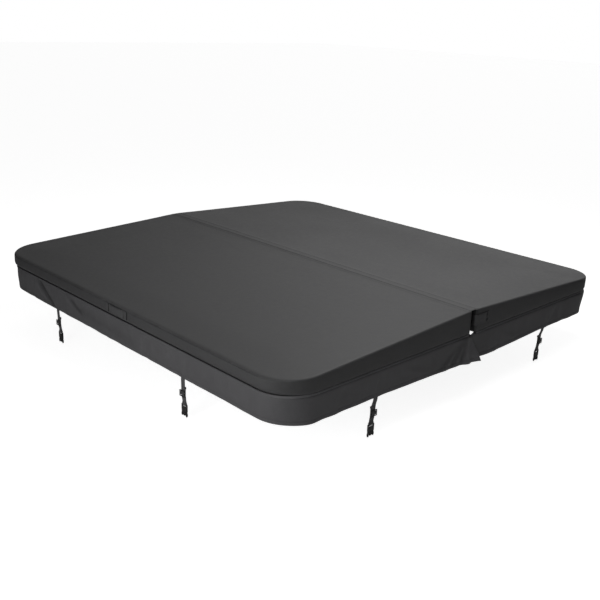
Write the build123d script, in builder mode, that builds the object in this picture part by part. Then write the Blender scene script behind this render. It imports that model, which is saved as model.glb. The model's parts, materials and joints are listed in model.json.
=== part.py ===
from build123d import *
import os

# Two-panel folding spa cover with a skirt, zips, handles and eight tie-down straps.
# Frame: +Z up, origin at the centre of the cover on the plane of its underside.
# The fold runs along Y at x = 0. The near panel (x < 0) folds, the far panel (x > 0) stays.
# All sizes in millimetres.

os.makedirs("parts", exist_ok=True)

# ---------------------------------------------------------------- driving dimensions
side = 2100.0            # overall plan size, square
corner_r = 155.0         # plan corner radius
t_fold = 102.0           # panel thickness along the fold
t_edge = 58.0            # panel thickness at the outer edge
gap = 30.0               # distance between the two fold-side walls
vinyl = 1.2              # cover fabric thickness
film = 0.6               # vapour barrier, drawn thicker than the real film
clear = 0.3              # space left between layers
over = 20.0              # how far cutting shapes run past what they cut

half = side / 2
wall_x = gap / 2         # fold-side wall of a panel, from the fold line
fall = (t_fold - t_edge) / (half - wall_x)   # slope of a panel's top

# layers of a panel, measured in from its outside
film_out = vinyl + clear
film_in = film_out + film
core_inset = film_in + clear

made = []                # finished pieces, each labelled with its file name


def keep(part, label):
    """Names a finished piece and remembers it for writing."""
    part.label = label
    made.append(part)


def top_line(x, drop=0.0):
    """Height of the near panel's top plane at x, less drop."""
    return t_fold - (-x - wall_x) * fall - drop


def panel_wedge(inset, cut_x, bottom_z, drop):
    """A solid with the near panel's plan, moved in by inset, a straight wall at x = -cut_x,
    a flat bottom and a top parallel to the panel's sloping top, lower by drop."""
    with BuildPart() as wedge:
        with BuildSketch(Plane.XY.offset(bottom_z)):
            RectangleRounded(side - 2 * inset, side - 2 * inset, corner_r - inset)
            with Locations((-cut_x + half, 0)):
                Rectangle(side, side + 2 * over, mode=Mode.SUBTRACT)
        extrude(amount=t_fold + 30)
        with BuildSketch(Plane.XZ):
            with BuildLine():
                Polyline(
                    (-half - over, bottom_z),
                    (0, bottom_z),
                    (0, top_line(0, drop)),
                    (-half - over, top_line(-half - over, drop)),
                    close=True,
                )
            make_face()
        extrude(amount=side, both=True, mode=Mode.INTERSECT)
    return wedge.part


def bar_along_y(x_ends, low_z, high_z, y_half):
    """A bar along Y. Its section lies between the two x_ends, with a low and a high z at each."""
    with BuildPart() as bar:
        with BuildSketch(Plane.XZ):
            with BuildLine():
                Polyline(
                    (x_ends[0], low_z[0]),
                    (x_ends[1], low_z[1]),
                    (x_ends[1], high_z[1]),
                    (x_ends[0], high_z[0]),
                    close=True,
                )
            make_face()
        extrude(amount=y_half, both=True)
    return bar.part


def ribbon(points, thickness):
    """The outline of a strip that follows the given centre line."""
    left, right = [], []
    for i, (x, y) in enumerate(points):
        before = points[max(i - 1, 0)]
        after = points[min(i + 1, len(points) - 1)]
        along = Vector(after[0] - before[0], after[1] - before[1]).normalized()
        shift_x, shift_y = -along.Y * thickness / 2, along.X * thickness / 2
        left.append((x + shift_x, y + shift_y))
        right.append((x - shift_x, y - shift_y))
    return left + right[::-1]


# ---------------------------------------------------------------- near panel: core
channel_flange = 38.0    # flange length beyond the web
channel_t = 1.0
channel_half = 1036.0    # half length; it stops short of the rounded ends of the envelope

web_x = -(wall_x + core_inset)       # channel web, face towards the fold
foam_x = wall_x + core_inset + channel_t + clear
rebate = core_inset + channel_t + clear   # depth of the flange rebates, from the panel's outside

# tapered foam core with shallow rebates for the channel's flanges
with BuildPart() as near_foam_core:
    add(panel_wedge(core_inset, foam_x, core_inset, core_inset))
    rebate_x = (-foam_x - channel_flange - 1.0, -foam_x + 2.0)
    add(
        bar_along_y(rebate_x, (core_inset - 1, core_inset - 1), (rebate, rebate), half),
        mode=Mode.SUBTRACT,
    )
    add(
        bar_along_y(
            rebate_x,
            [top_line(x, rebate) for x in rebate_x],
            [top_line(x) for x in rebate_x],
            half,
        ),
        mode=Mode.SUBTRACT,
    )
keep(near_foam_core.part, "near_foam_core")

# sealed film round the core; the sealed lap on the fold side is left as a narrow slit
slit_z = (44, 48)
slit_half = 900
with BuildPart() as near_vapour_barrier:
    add(panel_wedge(film_out, wall_x + film_out, film_out, film_out))
    add(panel_wedge(film_in, wall_x + film_in, film_in, film_in), mode=Mode.SUBTRACT)
    add(
        bar_along_y(
            (-wall_x - film_in - 0.1, 0), (slit_z[0], slit_z[0]), (slit_z[1], slit_z[1]), slit_half
        ),
        mode=Mode.SUBTRACT,
    )
keep(near_vapour_barrier.part, "near_vapour_barrier")

# galvanised C-channel on the fold side of the core
web_back = web_x - channel_t
flange_tip = web_back - channel_flange
with BuildPart() as near_c_channel:
    with BuildSketch(Plane.XZ):
        with BuildLine():
            Polyline(
                (web_x, core_inset),
                (flange_tip, core_inset),
                (flange_tip, core_inset + channel_t),
                (web_back, core_inset + channel_t),
                (web_back, top_line(web_back, core_inset + channel_t)),
                (flange_tip, top_line(flange_tip, core_inset + channel_t)),
                (flange_tip, top_line(flange_tip, core_inset)),
                (web_x, top_line(web_x, core_inset)),
                close=True,
            )
        make_face()
    extrude(amount=channel_half, both=True)
keep(near_c_channel.part, "near_c_channel")

# ---------------------------------------------------------------- near panel: fabric envelope
band_return = 15.8       # side band turned under to its bottom seam
liner_inset = 18.0
zip_inner = 20.2         # zip tapes lie between these distances from the fold line
zip_outer = 51.8
tape_gap = 0.2           # space between a zip tape and the fabric beside it

# sloping top sheet
with BuildPart() as near_top_vinyl:
    add(panel_wedge(0, wall_x, t_edge - 8, 0))
    add(panel_wedge(-10, wall_x - 10, t_edge - 20, vinyl), mode=Mode.SUBTRACT)
keep(near_top_vinyl.part, "near_top_vinyl")

# side band: walls on all four sides, turned under to the bottom seam
with BuildPart() as near_side_band:
    add(panel_wedge(0, wall_x, 0, vinyl + 0.1))
    add(panel_wedge(vinyl, wall_x + vinyl, vinyl, -10), mode=Mode.SUBTRACT)
    add(panel_wedge(band_return, zip_inner - tape_gap, -5, 40), mode=Mode.SUBTRACT)
keep(near_side_band.part, "near_side_band")

with BuildPart() as near_underside_liner:
    with BuildSketch(Plane.XY):
        liner_size = side - 2 * liner_inset
        RectangleRounded(liner_size, liner_size, corner_r - liner_inset)
        with Locations((-zip_outer - tape_gap + half, 0)):
            Rectangle(side, side, mode=Mode.SUBTRACT)
    extrude(amount=vinyl)
keep(near_underside_liner.part, "near_underside_liner")

# ---------------------------------------------------------------- skirt and piping
skirt_inset = 12.0       # skirt centre line in from the side band
skirt_t = 3.0            # doubled and hemmed fabric
skirt_top = -0.4
skirt_drop = 117.0       # hem below the underside plane
near_skirt_end = 20.0    # near skirt stops this far before the fold line
far_skirt_end = -12.0    # far skirt runs this far past the fold line, behind the near flap
# the far skirt's top corner is cut off from this X on the seam down to this height
far_skirt_cut_x, far_skirt_cut_z = 27.0, -30.0

flap_offset = 6.0        # free flap outward of the skirt's centre line
flap_outline = [(-62, -8), (-28, -8), (58, -122), (50, -131), (-62, -118)]   # x, z

welt_r = 2.5             # piping radius
welt_inset = skirt_inset / 2
welt_z = -welt_r - 0.3

# piping in the seam under the side band
with BuildPart() as near_welt:
    with BuildSketch(Plane.XY.offset(welt_z)):
        outer, inner = welt_inset - welt_r, welt_inset + welt_r
        RectangleRounded(side - 2 * outer, side - 2 * outer, corner_r - outer)
        RectangleRounded(
            side - 2 * inner, side - 2 * inner, corner_r - inner, mode=Mode.SUBTRACT
        )
        with Locations((-wall_x - 2 + half, 0)):
            Rectangle(side, side + 2 * over, mode=Mode.SUBTRACT)
    extrude(amount=welt_r, both=True)
    # round the long edges, leaving out the short ones at the cut ends
    long_edges = near_welt.edges().filter_by(Plane.XY).filter_by(lambda e: e.length > 60)
    fillet(long_edges, radius=welt_r * 0.92)
keep(near_welt.part, "near_welt")


def skirt_wall(cut_centre_x):
    """The skirt all round, less what a square the size of the cover, centred there, takes off."""
    outer, inner = skirt_inset - skirt_t / 2, skirt_inset + skirt_t / 2
    with BuildPart() as wall:
        with BuildSketch(Plane.XY.offset(-skirt_drop)):
            RectangleRounded(side - 2 * outer, side - 2 * outer, corner_r - outer)
            RectangleRounded(
                side - 2 * inner, side - 2 * inner, corner_r - inner, mode=Mode.SUBTRACT
            )
            with Locations((cut_centre_x, 0)):
                Rectangle(side, side + 2 * over, mode=Mode.SUBTRACT)
        extrude(amount=skirt_drop + skirt_top)
    return wall.part


with BuildPart() as near_skirt:
    add(skirt_wall(-near_skirt_end + half))
    for end in (-1, 1):
        # the free flap: a slanted tongue that laps over the far skirt
        with BuildSketch(Plane.XZ.offset(-end * (half - skirt_inset + flap_offset))):
            with BuildLine():
                Polyline(flap_outline, close=True)
            make_face()
        extrude(amount=skirt_t / 2, both=True)
        # the fold in the cloth that carries it outward
        with BuildSketch(Plane.XZ.offset(-end * (half - skirt_inset + flap_offset / 2))):
            with Locations((-50, -62)):
                Rectangle(24, 107)
        extrude(amount=4.4, both=True)
near_skirt_part = near_skirt.part
keep(near_skirt_part, "near_skirt")

with BuildPart() as far_skirt:
    add(skirt_wall(far_skirt_end - half))
    with BuildSketch(Plane.XZ):
        with BuildLine():
            Polyline(
                (far_skirt_end - 5, 5),
                (far_skirt_cut_x + 4, 5),
                (far_skirt_cut_x, skirt_top),
                (far_skirt_end, far_skirt_cut_z),
                (far_skirt_end - 5, far_skirt_cut_z),
                close=True,
            )
        make_face()
    extrude(amount=side, both=True, mode=Mode.SUBTRACT)
far_skirt_part = far_skirt.part
keep(far_skirt_part, "far_skirt")

# ---------------------------------------------------------------- near zip
zip_x = -(zip_inner + zip_outer) / 2     # centre line of the zip
zip_length = 2050.0
tape_w = 13.2
tape_t = 1.0
teeth_w = 1.9            # width of one row
teeth_h = 2.2
teeth_gap = 0.8
slider_y = 985.0         # closed position of the zip slider
pull_bar_z = -6.4        # bar of the slider's bridge, which carries the pull

with BuildPart() as near_zip_tape:
    for tape_x in (zip_inner + tape_w / 2, zip_outer - tape_w / 2):
        with BuildSketch(Plane.XY.offset(-tape_t)):
            with Locations((-tape_x, 0)):
                Rectangle(tape_w, zip_length)
        extrude(amount=tape_t)
keep(near_zip_tape.part, "near_zip_tape")

with BuildPart() as near_zip_teeth:
    for sign in (-1, 1):
        with BuildSketch(Plane.XY.offset(-teeth_h)):
            with Locations((zip_x + sign * (teeth_gap + teeth_w) / 2, 0)):
                Rectangle(teeth_w, zip_length - 6)
        extrude(amount=teeth_h)
keep(near_zip_teeth.part, "near_zip_teeth")

with BuildPart() as near_zip_slider:
    # plate inside the cover
    with BuildSketch(Plane.XY.offset(0.25)):
        with Locations((zip_x, slider_y)):
            RectangleRounded(9.0, 15.0, 2.0)
    extrude(amount=0.95)
    # plate outside the cover
    with BuildSketch(Plane.XY.offset(-3.8)):
        with Locations((zip_x, slider_y)):
            RectangleRounded(10.0, 17.0, 2.4)
    extrude(amount=1.3)
    # thin tongue between the rows of teeth
    with BuildSketch(Plane.XY.offset(-3.0)):
        with Locations((zip_x, slider_y + 3.0)):
            Rectangle(0.5, 6.0)
    extrude(amount=4.0)
    # bridge for the pull: two cheeks and a round bar
    for sign in (-1, 1):
        with BuildSketch(Plane.YZ.offset(zip_x + sign * 2.7)):
            with Locations((slider_y, -5.6)):
                RectangleRounded(4.0, 4.4, 1.2)
        extrude(amount=0.6, both=True)
    with BuildSketch(Plane.YZ.offset(zip_x)):
        with Locations((slider_y, pull_bar_z)):
            Circle(0.85)
    extrude(amount=3.0, both=True)
keep(near_zip_slider.part, "near_zip_slider")

# pull: an eye round the bridge bar and a flat tab, hanging down
with BuildPart() as near_zip_pull:
    with BuildSketch(Plane.YZ.offset(zip_x)):
        with Locations((slider_y, pull_bar_z)):
            Circle(1.9)
        with Locations((slider_y, pull_bar_z - 4.0)):
            Rectangle(1.4, 5.0)
        with Locations((slider_y, pull_bar_z)):
            Circle(1.05, mode=Mode.SUBTRACT)
    extrude(amount=1.6, both=True)
    with BuildSketch(Plane.XZ.offset(-slider_y)):
        with Locations((zip_x, -24.0)):
            RectangleRounded(8.0, 24.0, 3.0)
        with Locations((zip_x, -31.0)):
            Circle(1.8, mode=Mode.SUBTRACT)
    extrude(amount=0.7, both=True)
keep(near_zip_pull.part, "near_zip_pull")

# ---------------------------------------------------------------- fold strip, near half
strip_half = 38.0        # each half of the fold strip, from the fold line
strip_split = 0.2        # each half stops this far from the fold line
strip_lift = 0.1         # space between the strip and the panel's top

strip_low = t_fold + strip_lift
with BuildPart() as near_hinge_strip:
    with BuildSketch(Plane.XZ):
        with BuildLine():
            Polyline(
                (-strip_split, strip_low),
                (-wall_x, strip_low),
                (-strip_half, top_line(-strip_half, -strip_lift)),
                (-strip_half, top_line(-strip_half, -strip_lift - vinyl)),
                (-wall_x, strip_low + vinyl),
                (-strip_split, strip_low + vinyl),
                close=True,
            )
        make_face()
    extrude(amount=half - 1.0, both=True)
keep(near_hinge_strip.part, "near_hinge_strip")

# ---------------------------------------------------------------- near carry handle
handle_half = 80.0       # half length of the outer carry handles
handle_w = 40.0
handle_z = 10.0          # lower edge
handle_t = 2.4           # handle cloth, outer and fold handles alike
sewn = 1.6               # centre of the cloth off the panel's face at the sewn ends


def handle(centre_line, low_z, width):
    """A cloth handle that follows an x, y centre line and stands on edge from low_z up."""
    with BuildPart() as cloth:
        with BuildSketch(Plane.XY.offset(low_z)):
            with BuildLine():
                Polyline(ribbon(centre_line, handle_t), close=True)
            make_face()
        extrude(amount=width)
    return cloth.part


near_handle_line = [
    (-half - sewn, -handle_half),
    (-half - sewn, -handle_half + 22),
    (-half - 7.0, -handle_half + 38),
    (-half - 8.5, 0),
    (-half - 7.0, handle_half - 38),
    (-half - sewn, handle_half - 22),
    (-half - sewn, handle_half),
]
keep(handle(near_handle_line, handle_z, handle_w), "near_handle")

# ---------------------------------------------------------------- far panel
# the mirror image of everything so far except the skirts, which differ
for part in list(made):
    if part.label in ("near_skirt", "far_skirt"):
        continue
    with BuildPart() as twin:
        add(mirror(part, about=Plane.YZ, mode=Mode.PRIVATE))
    keep(twin.part, part.label.replace("near_", "far_"))

# steam seal: a soft bolster that fills the gap under the fold strip, fixed to the far panel
seal_w = 24.0
seal_h = 80.0
seal_len = 2064.0
seal_z = 52              # centre height
with BuildPart() as steam_seal:
    with BuildSketch(Plane.XZ):
        with Locations((wall_x - 0.4 - seal_w / 2, seal_z)):
            RectangleRounded(seal_w, seal_h, 9)
    extrude(amount=seal_len / 2, both=True)
keep(steam_seal.part, "steam_seal")

# fold handles: short straps on the far panel's side faces next to the fold
fold_handle_x0, fold_handle_x1 = 5.0, 112.0
fold_handle_z0, fold_handle_z1 = 30.0, 78.0
fold_handle_line = [     # x, distance out from the side face
    (fold_handle_x0, sewn),
    (fold_handle_x0 + 14, sewn),
    (fold_handle_x0 + 28, 5.5),
    ((fold_handle_x0 + fold_handle_x1) / 2, 7.5),
    (fold_handle_x1 - 24, 5.0),
    (fold_handle_x1 - 12, sewn),
    (fold_handle_x1, sewn),
]
for end, label in ((-1, "fold_handle_front"), (1, "fold_handle_back")):
    line = [(x, end * (half + out)) for x, out in fold_handle_line]
    keep(handle(line, fold_handle_z0, fold_handle_z1 - fold_handle_z0), label)

# ---------------------------------------------------------------- tie-down straps
webbing_w = 25.0
webbing_t = 1.6
root_t = 1.5             # sewn root of a strap
root_inset = 15.25       # strap centre plane in from the side band
swing_z = -118.5         # where a strap bends at the skirt hem
# clip bar in the strap's own outward and up directions
bar_u, bar_z = -4.0, -236.0
bar_r = 2.2
loop_r = 3.4             # centre line of the webbing round the clip bar
adjuster_u, adjuster_z = 6.0, -185

strap_y = (-450.0, 535.0)    # straps on the two outer faces
strap_x = 585.0          # straps on the faces that cross the fold

# outward direction of the face, where the strap leaves the skirt;
# straps 1 to 4 are on the near panel, 5 to 8 on the far panel
reach = half - root_inset
straps = [
    ((-1, 0), (-reach, strap_y[1])),
    ((-1, 0), (-reach, strap_y[0])),
    ((0, -1), (-strap_x, -reach)),
    ((0, 1), (-strap_x, reach)),
    ((0, -1), (strap_x, -reach)),
    ((1, 0), (reach, strap_y[0])),
    ((1, 0), (reach, strap_y[1])),
    ((0, 1), (strap_x, reach)),
]

# centre lines of the webbing: outward, up
webbing_down = [         # from the hem, out through the adjuster, to the clip bar
    (0.0, swing_z - 1.0), (0.8, -140.0), (1.8, -163.0), (2.0, -169.0), (3.2, -176.4),
    (6.0, -179.1), (9.6, -183.0), (9.6, -187.0), (6.0, -190.9), (3.2, -193.4),
    (0.8, -201.0), (-1.9, -214.0), (-3.3, -222.0), (bar_u + loop_r, -231.0),
    (bar_u + loop_r, bar_z),
]
webbing_up = [           # from the clip bar back up inside
    (bar_u - loop_r, bar_z), (bar_u - loop_r, -231.0), (-4.8, -222.0), (-3.4, -214.0),
    (-0.9, -190.0), (-1.0, -176.0), (-1.8, -162.0),
]
# outline of the end folded over on itself, so that it cannot slip back through the adjuster
webbing_end = [(-5.0, -164.5), (-1.0, -165.0), (-0.8, -155.0), (-4.8, -154.5)]

# outline of a clip's sprung arm with its barb: distance from the centre line, up
clip_arm = [
    (9.4, -261.0), (16.6, -261.0), (16.0, -268.0), (18.6, -274.0),
    (18.0, -280.5), (14.6, -286.0), (10.6, -283.0), (9.2, -268.0),
]


def section_plane(outward, place):
    """Sketch plane seen along the edge of the cover: local x outward, local y up."""
    out = Vector(*outward, 0)
    return Plane(origin=(*place, 0), x_dir=out, z_dir=out.cross(Vector(0, 0, 1)))


def face_plane(outward, place, u):
    """Sketch plane parallel to the face of the cover, u outward of the strap:
    local x along the edge, local y up."""
    out = Vector(*outward, 0)
    return Plane(
        origin=(place[0] + out.X * u, place[1] + out.Y * u, 0),
        x_dir=Vector(0, 0, 1).cross(out),
        z_dir=out,
    )


def strap_roots(panel_straps):
    """The sewn roots behind the skirt of one panel, from its seam to its hem."""
    with BuildPart() as roots:
        for outward, place in panel_straps:
            with BuildSketch(face_plane(outward, place, 0)):
                with Locations((0, (skirt_top - skirt_drop) / 2)):
                    Rectangle(webbing_w, skirt_top + skirt_drop)
            extrude(amount=root_t / 2, both=True)
    return roots.part


def strap_webbing(outward, place):
    """Webbing from the hem through the adjuster, round the clip bar and back up."""
    with BuildPart() as webbing:
        with BuildSketch(section_plane(outward, place)):
            with BuildLine():
                Polyline(ribbon(webbing_down, webbing_t), close=True)
            make_face()
            with BuildLine():
                Polyline(ribbon(webbing_up, webbing_t), close=True)
            make_face()
            with BuildLine():
                Polyline(webbing_end, close=True)
            make_face()
            with Locations((bar_u, bar_z)):
                Circle(loop_r + webbing_t / 2)
                Circle(loop_r - webbing_t / 2, mode=Mode.SUBTRACT)
        extrude(amount=webbing_w / 2, both=True)
    return webbing.part


def strap_adjuster(outward, place):
    """Adjuster: a frame with a centre bar between two slots."""
    with BuildPart() as adjuster:
        with BuildSketch(face_plane(outward, place, adjuster_u)):
            with Locations((0, adjuster_z)):
                RectangleRounded(37, 27, 3.0)
            with Locations((0, adjuster_z + 6), (0, adjuster_z - 6)):
                Rectangle(28, 7.2, mode=Mode.SUBTRACT)
        extrude(amount=1.2, both=True)
        level_edges = adjuster.edges().filter_by(Axis.Z, reverse=True)
        fillet(level_edges.group_by(SortBy.LENGTH)[-1], radius=0.6)
    return adjuster.part


def side_release_clip(outward, place):
    """Male clip: bar, frame, body, centre guide and two sprung arms with barbs."""
    with BuildPart() as clip:
        # frame cheeks and body
        with BuildSketch(face_plane(outward, place, bar_u)):
            for sign in (-1, 1):
                with Locations((sign * 15.1, -241.5)):
                    Rectangle(3.8, 15.0)
            with Locations((0, -253.0)):
                Rectangle(34.0, 18.0)
        extrude(amount=2.8, both=True)
        # centre guide and arms
        with BuildSketch(face_plane(outward, place, bar_u)):
            with Locations((0, -271.0)):
                RectangleRounded(11.0, 22.0, 1.2)
            for sign in (-1, 1):
                with BuildLine():
                    Polyline([(sign * x, z) for x, z in clip_arm], close=True)
                make_face()
        extrude(amount=2.3, both=True)
        # bar
        with BuildSketch(section_plane(outward, place)):
            with Locations((bar_u, bar_z)):
                Circle(bar_r)
        extrude(amount=15.0, both=True)
    return clip.part


keep(strap_roots(straps[:4]), "near_strap_roots")
keep(strap_roots(straps[4:]), "far_strap_roots")
for number, (outward, place) in enumerate(straps, start=1):
    keep(strap_webbing(outward, place), f"strap_{number}_webbing")
    keep(strap_adjuster(outward, place), f"strap_{number}_adjuster")
    keep(side_release_clip(outward, place), f"clip_{number}")

# ---------------------------------------------------------------- one STEP file per piece
for part in made:
    export_step(part, f"parts/{part.label}.step")
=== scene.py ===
import json
import math

import bpy
import bmesh
import numpy as np
from mathutils import Matrix, Vector


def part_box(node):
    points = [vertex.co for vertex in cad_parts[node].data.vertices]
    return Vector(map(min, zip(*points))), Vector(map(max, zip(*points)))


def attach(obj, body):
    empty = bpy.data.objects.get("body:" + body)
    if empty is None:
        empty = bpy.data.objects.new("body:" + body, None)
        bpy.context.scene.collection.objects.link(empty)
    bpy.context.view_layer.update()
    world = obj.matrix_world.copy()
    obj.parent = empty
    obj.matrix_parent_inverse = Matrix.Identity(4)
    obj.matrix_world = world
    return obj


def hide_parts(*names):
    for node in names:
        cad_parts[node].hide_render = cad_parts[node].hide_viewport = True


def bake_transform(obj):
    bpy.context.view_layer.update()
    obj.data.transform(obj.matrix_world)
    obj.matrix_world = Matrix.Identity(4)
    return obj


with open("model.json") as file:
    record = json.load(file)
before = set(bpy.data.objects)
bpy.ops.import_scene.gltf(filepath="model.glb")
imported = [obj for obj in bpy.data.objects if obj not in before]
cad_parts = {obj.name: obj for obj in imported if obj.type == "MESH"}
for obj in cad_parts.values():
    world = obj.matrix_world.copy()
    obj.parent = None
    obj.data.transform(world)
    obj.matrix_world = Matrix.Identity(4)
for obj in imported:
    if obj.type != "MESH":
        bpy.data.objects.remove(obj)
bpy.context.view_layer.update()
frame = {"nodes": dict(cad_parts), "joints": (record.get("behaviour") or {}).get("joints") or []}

MM = 0.001

# ------------------------------------------------------------------ sizes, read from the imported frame
lo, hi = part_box("near_top_vinyl")
H = -lo.x                       # half of the plan
G = -hi.x                       # fold-side wall from the fold line
T_FOLD = hi.z
T_EDGE = lo.z + 1.2 * MM
FALL = (T_FOLD - T_EDGE) / (H - G)
R = 0.155                       # plan corner radius
RH = 0.005                      # upright corner at the fold
slo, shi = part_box("near_skirt")
flo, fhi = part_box("far_skirt")
HEM_Z = flo.z
SK_IN = H - (fhi.x - 1.5 * MM)  # skirt centre line in from the band
NEAR_END, FAR_END = 0.020, flo.x
FOLD_PIVOT = next(j["pos_m"] for j in frame["joints"] if j["name"] == "fold")
Z_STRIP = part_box("near_hinge_strip")[1].z


def top_z(x):
    return T_FOLD - (np.abs(x) - G) * FALL


# ------------------------------------------------------------------ small helpers
def _hash(i, j, k, seed):
    n = (i * 374761393 + j * 668265263 + k * 1442695041 + seed * 974634777) & 0xFFFFFFFF
    n = ((n ^ (n >> 13)) * 1274126177) & 0xFFFFFFFF
    n = (n ^ (n >> 16)) & 0xFFFFFFFF
    return n.astype(np.float64) / 4294967295.0


def vnoise(p, seed=0):
    """Smooth noise in -1..1 at the points p (N,3), one cell per unit."""
    p = np.asarray(p, float)
    i = np.floor(p).astype(np.int64)
    f = p - i
    f = f * f * f * (f * (f * 6 - 15) + 10)
    out = np.zeros(len(p))
    for a in (0, 1):
        for b in (0, 1):
            for c in (0, 1):
                w = (f[:, 0] if a else 1 - f[:, 0]) * (f[:, 1] if b else 1 - f[:, 1]) * (f[:, 2] if c else 1 - f[:, 2])
                out += w * _hash(i[:, 0] + a, i[:, 1] + b, i[:, 2] + c, seed)
    return out * 2 - 1


def fbm(p, scale, octaves=3, seed=0, gain=0.5):
    p = np.asarray(p, float)
    total, amp = np.zeros(len(p)), 1.0
    for o in range(octaves):
        total += amp * vnoise(p * scale * (2 ** o), seed + 17 * o)
        amp *= gain
    return total


def smooth(a, b, x):
    t = np.clip((np.asarray(x, float) - a) / (b - a), 0, 1)
    return t * t * (3 - 2 * t)


def new_obj(name, verts, faces, uv=None, flat=False):
    me = bpy.data.meshes.new(name)
    me.from_pydata([tuple(v) for v in np.asarray(verts, float)], [], [tuple(int(i) for i in f) for f in faces])
    me.validate()
    if uv is not None:
        layer = me.uv_layers.new(name="UVMap")
        idx = np.zeros(len(me.loops), np.int32)
        me.loops.foreach_get("vertex_index", idx)
        layer.data.foreach_set("uv", np.asarray(uv, np.float32)[idx].ravel())
    if not flat:
        me.polygons.foreach_set("use_smooth", np.ones(len(me.polygons), bool))
    me.update()
    o = bpy.data.objects.new(name, me)
    bpy.context.scene.collection.objects.link(o)
    return o


def grid_quads(rows, cols, closed=False, base=0, flip=False):
    f = []
    n = cols if closed else cols - 1
    for r in range(rows - 1):
        for c in range(n):
            a = base + r * cols + c
            b = base + r * cols + (c + 1) % cols
            q = (a, b, b + cols, a + cols)
            f.append(q[::-1] if flip else q)
    return f


def apply_mods(o):
    dg = bpy.context.evaluated_depsgraph_get()
    dg.update()
    me = bpy.data.meshes.new_from_object(o.evaluated_get(dg), preserve_all_data_layers=True, depsgraph=dg)
    old = o.data
    o.modifiers.clear()
    o.data = me
    if old.users == 0:
        bpy.data.meshes.remove(old)
    return o


def weld(o, dist=1e-5):
    bm = bmesh.new()
    bm.from_mesh(o.data)
    bmesh.ops.remove_doubles(bm, verts=bm.verts, dist=dist)
    bmesh.ops.dissolve_degenerate(bm, edges=bm.edges, dist=1e-7)
    bmesh.ops.recalc_face_normals(bm, faces=bm.faces)
    bm.to_mesh(o.data)
    bm.free()
    o.data.update()
    return o


def solidify(o, t, offset=-1.0):
    m = o.modifiers.new("thick", "SOLIDIFY")
    m.thickness = t
    m.offset = offset
    m.use_even_offset = False
    m.use_quality_normals = True
    return apply_mods(o)


def subdivide(o, levels=1):
    m = o.modifiers.new("sub", "SUBSURF")
    m.levels = levels
    m.render_levels = levels
    m.boundary_smooth = "PRESERVE_CORNERS"
    return apply_mods(o)


def join_meshes(name, parts, uvs=None):
    """parts: list of (verts, faces)."""
    vs, fs, n = [], [], 0
    for v, f in parts:
        vs.append(np.asarray(v, float))
        fs += [tuple(i + n for i in q) for q in f]
        n += len(v)
    return new_obj(name, np.concatenate(vs), fs, uv=None if uvs is None else np.concatenate(uvs))


def set_painted_shading(o, values):
    """Painted shading per point, read by the vinyl: values up to 1 darken the colour as painted shade in folds,
    recesses and under laps; negative values lighten it as a painted highlight.
    """
    a = o.data.attributes.new("painted_shading", "FLOAT", "POINT")
    a.data.foreach_set("value", np.clip(np.asarray(values, np.float32), -0.7, 1).ravel())
    return o


def set_mat(o, mat):
    o.data.materials.clear()
    o.data.materials.append(mat)
    return o


# ------------------------------------------------------------------ materials
class Nodes:
    def __init__(self, name):
        self.mat = bpy.data.materials.new(name)
        self.mat.use_nodes = True
        self.t = self.mat.node_tree
        self.t.nodes.clear()
        self.out = self.t.nodes.new("ShaderNodeOutputMaterial")
        self.bsdf = self.t.nodes.new("ShaderNodeBsdfPrincipled")
        self.link(self.bsdf.outputs[0], self.out.inputs[0])

    def link(self, a, b):
        self.t.links.new(a, b)

    def add(self, kind, **values):
        n = self.t.nodes.new(kind)
        for k, v in values.items():
            if k in n.inputs.keys():
                n.inputs[k].default_value = v
            else:
                setattr(n, k, v)
        return n

    def math(self, op, a, b=None, clamp=False):
        n = self.t.nodes.new("ShaderNodeMath")
        n.operation = op
        n.use_clamp = clamp
        for i, x in enumerate((a, b)):
            if x is None:
                continue
            if isinstance(x, (int, float)):
                n.inputs[i].default_value = x
            else:
                self.link(x, n.inputs[i])
        return n.outputs[0]

    def ramp(self, fac, stops):
        n = self.t.nodes.new("ShaderNodeValToRGB")
        while len(n.color_ramp.elements) < len(stops):
            n.color_ramp.elements.new(0.5)
        for e, (pos, col) in zip(n.color_ramp.elements, stops):
            e.position = pos
            e.color = col if len(col) == 4 else (*col, 1)
        self.link(fac, n.inputs[0])
        return n.outputs[0]

    def mapped(self, scale, uv=False, rot=(0, 0, 0)):
        tc = self.t.nodes.new("ShaderNodeTexCoord")
        m = self.t.nodes.new("ShaderNodeMapping")
        m.inputs["Scale"].default_value = scale
        m.inputs["Rotation"].default_value = rot
        self.link(tc.outputs["UV" if uv else "Object"], m.inputs[0])
        return m.outputs[0]

    def noise(self, vec, scale, detail=3.0, rough=0.55):
        n = self.add("ShaderNodeTexNoise", Scale=scale, Detail=detail, Roughness=rough)
        self.link(vec, n.inputs["Vector"])
        return n.outputs[0]

    def bump(self, height, strength, distance, normal=None):
        n = self.add("ShaderNodeBump", Strength=strength, Distance=distance)
        self.link(height, n.inputs["Height"])
        if normal is not None:
            self.link(normal, n.inputs["Normal"])
        return n.outputs[0]


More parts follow.
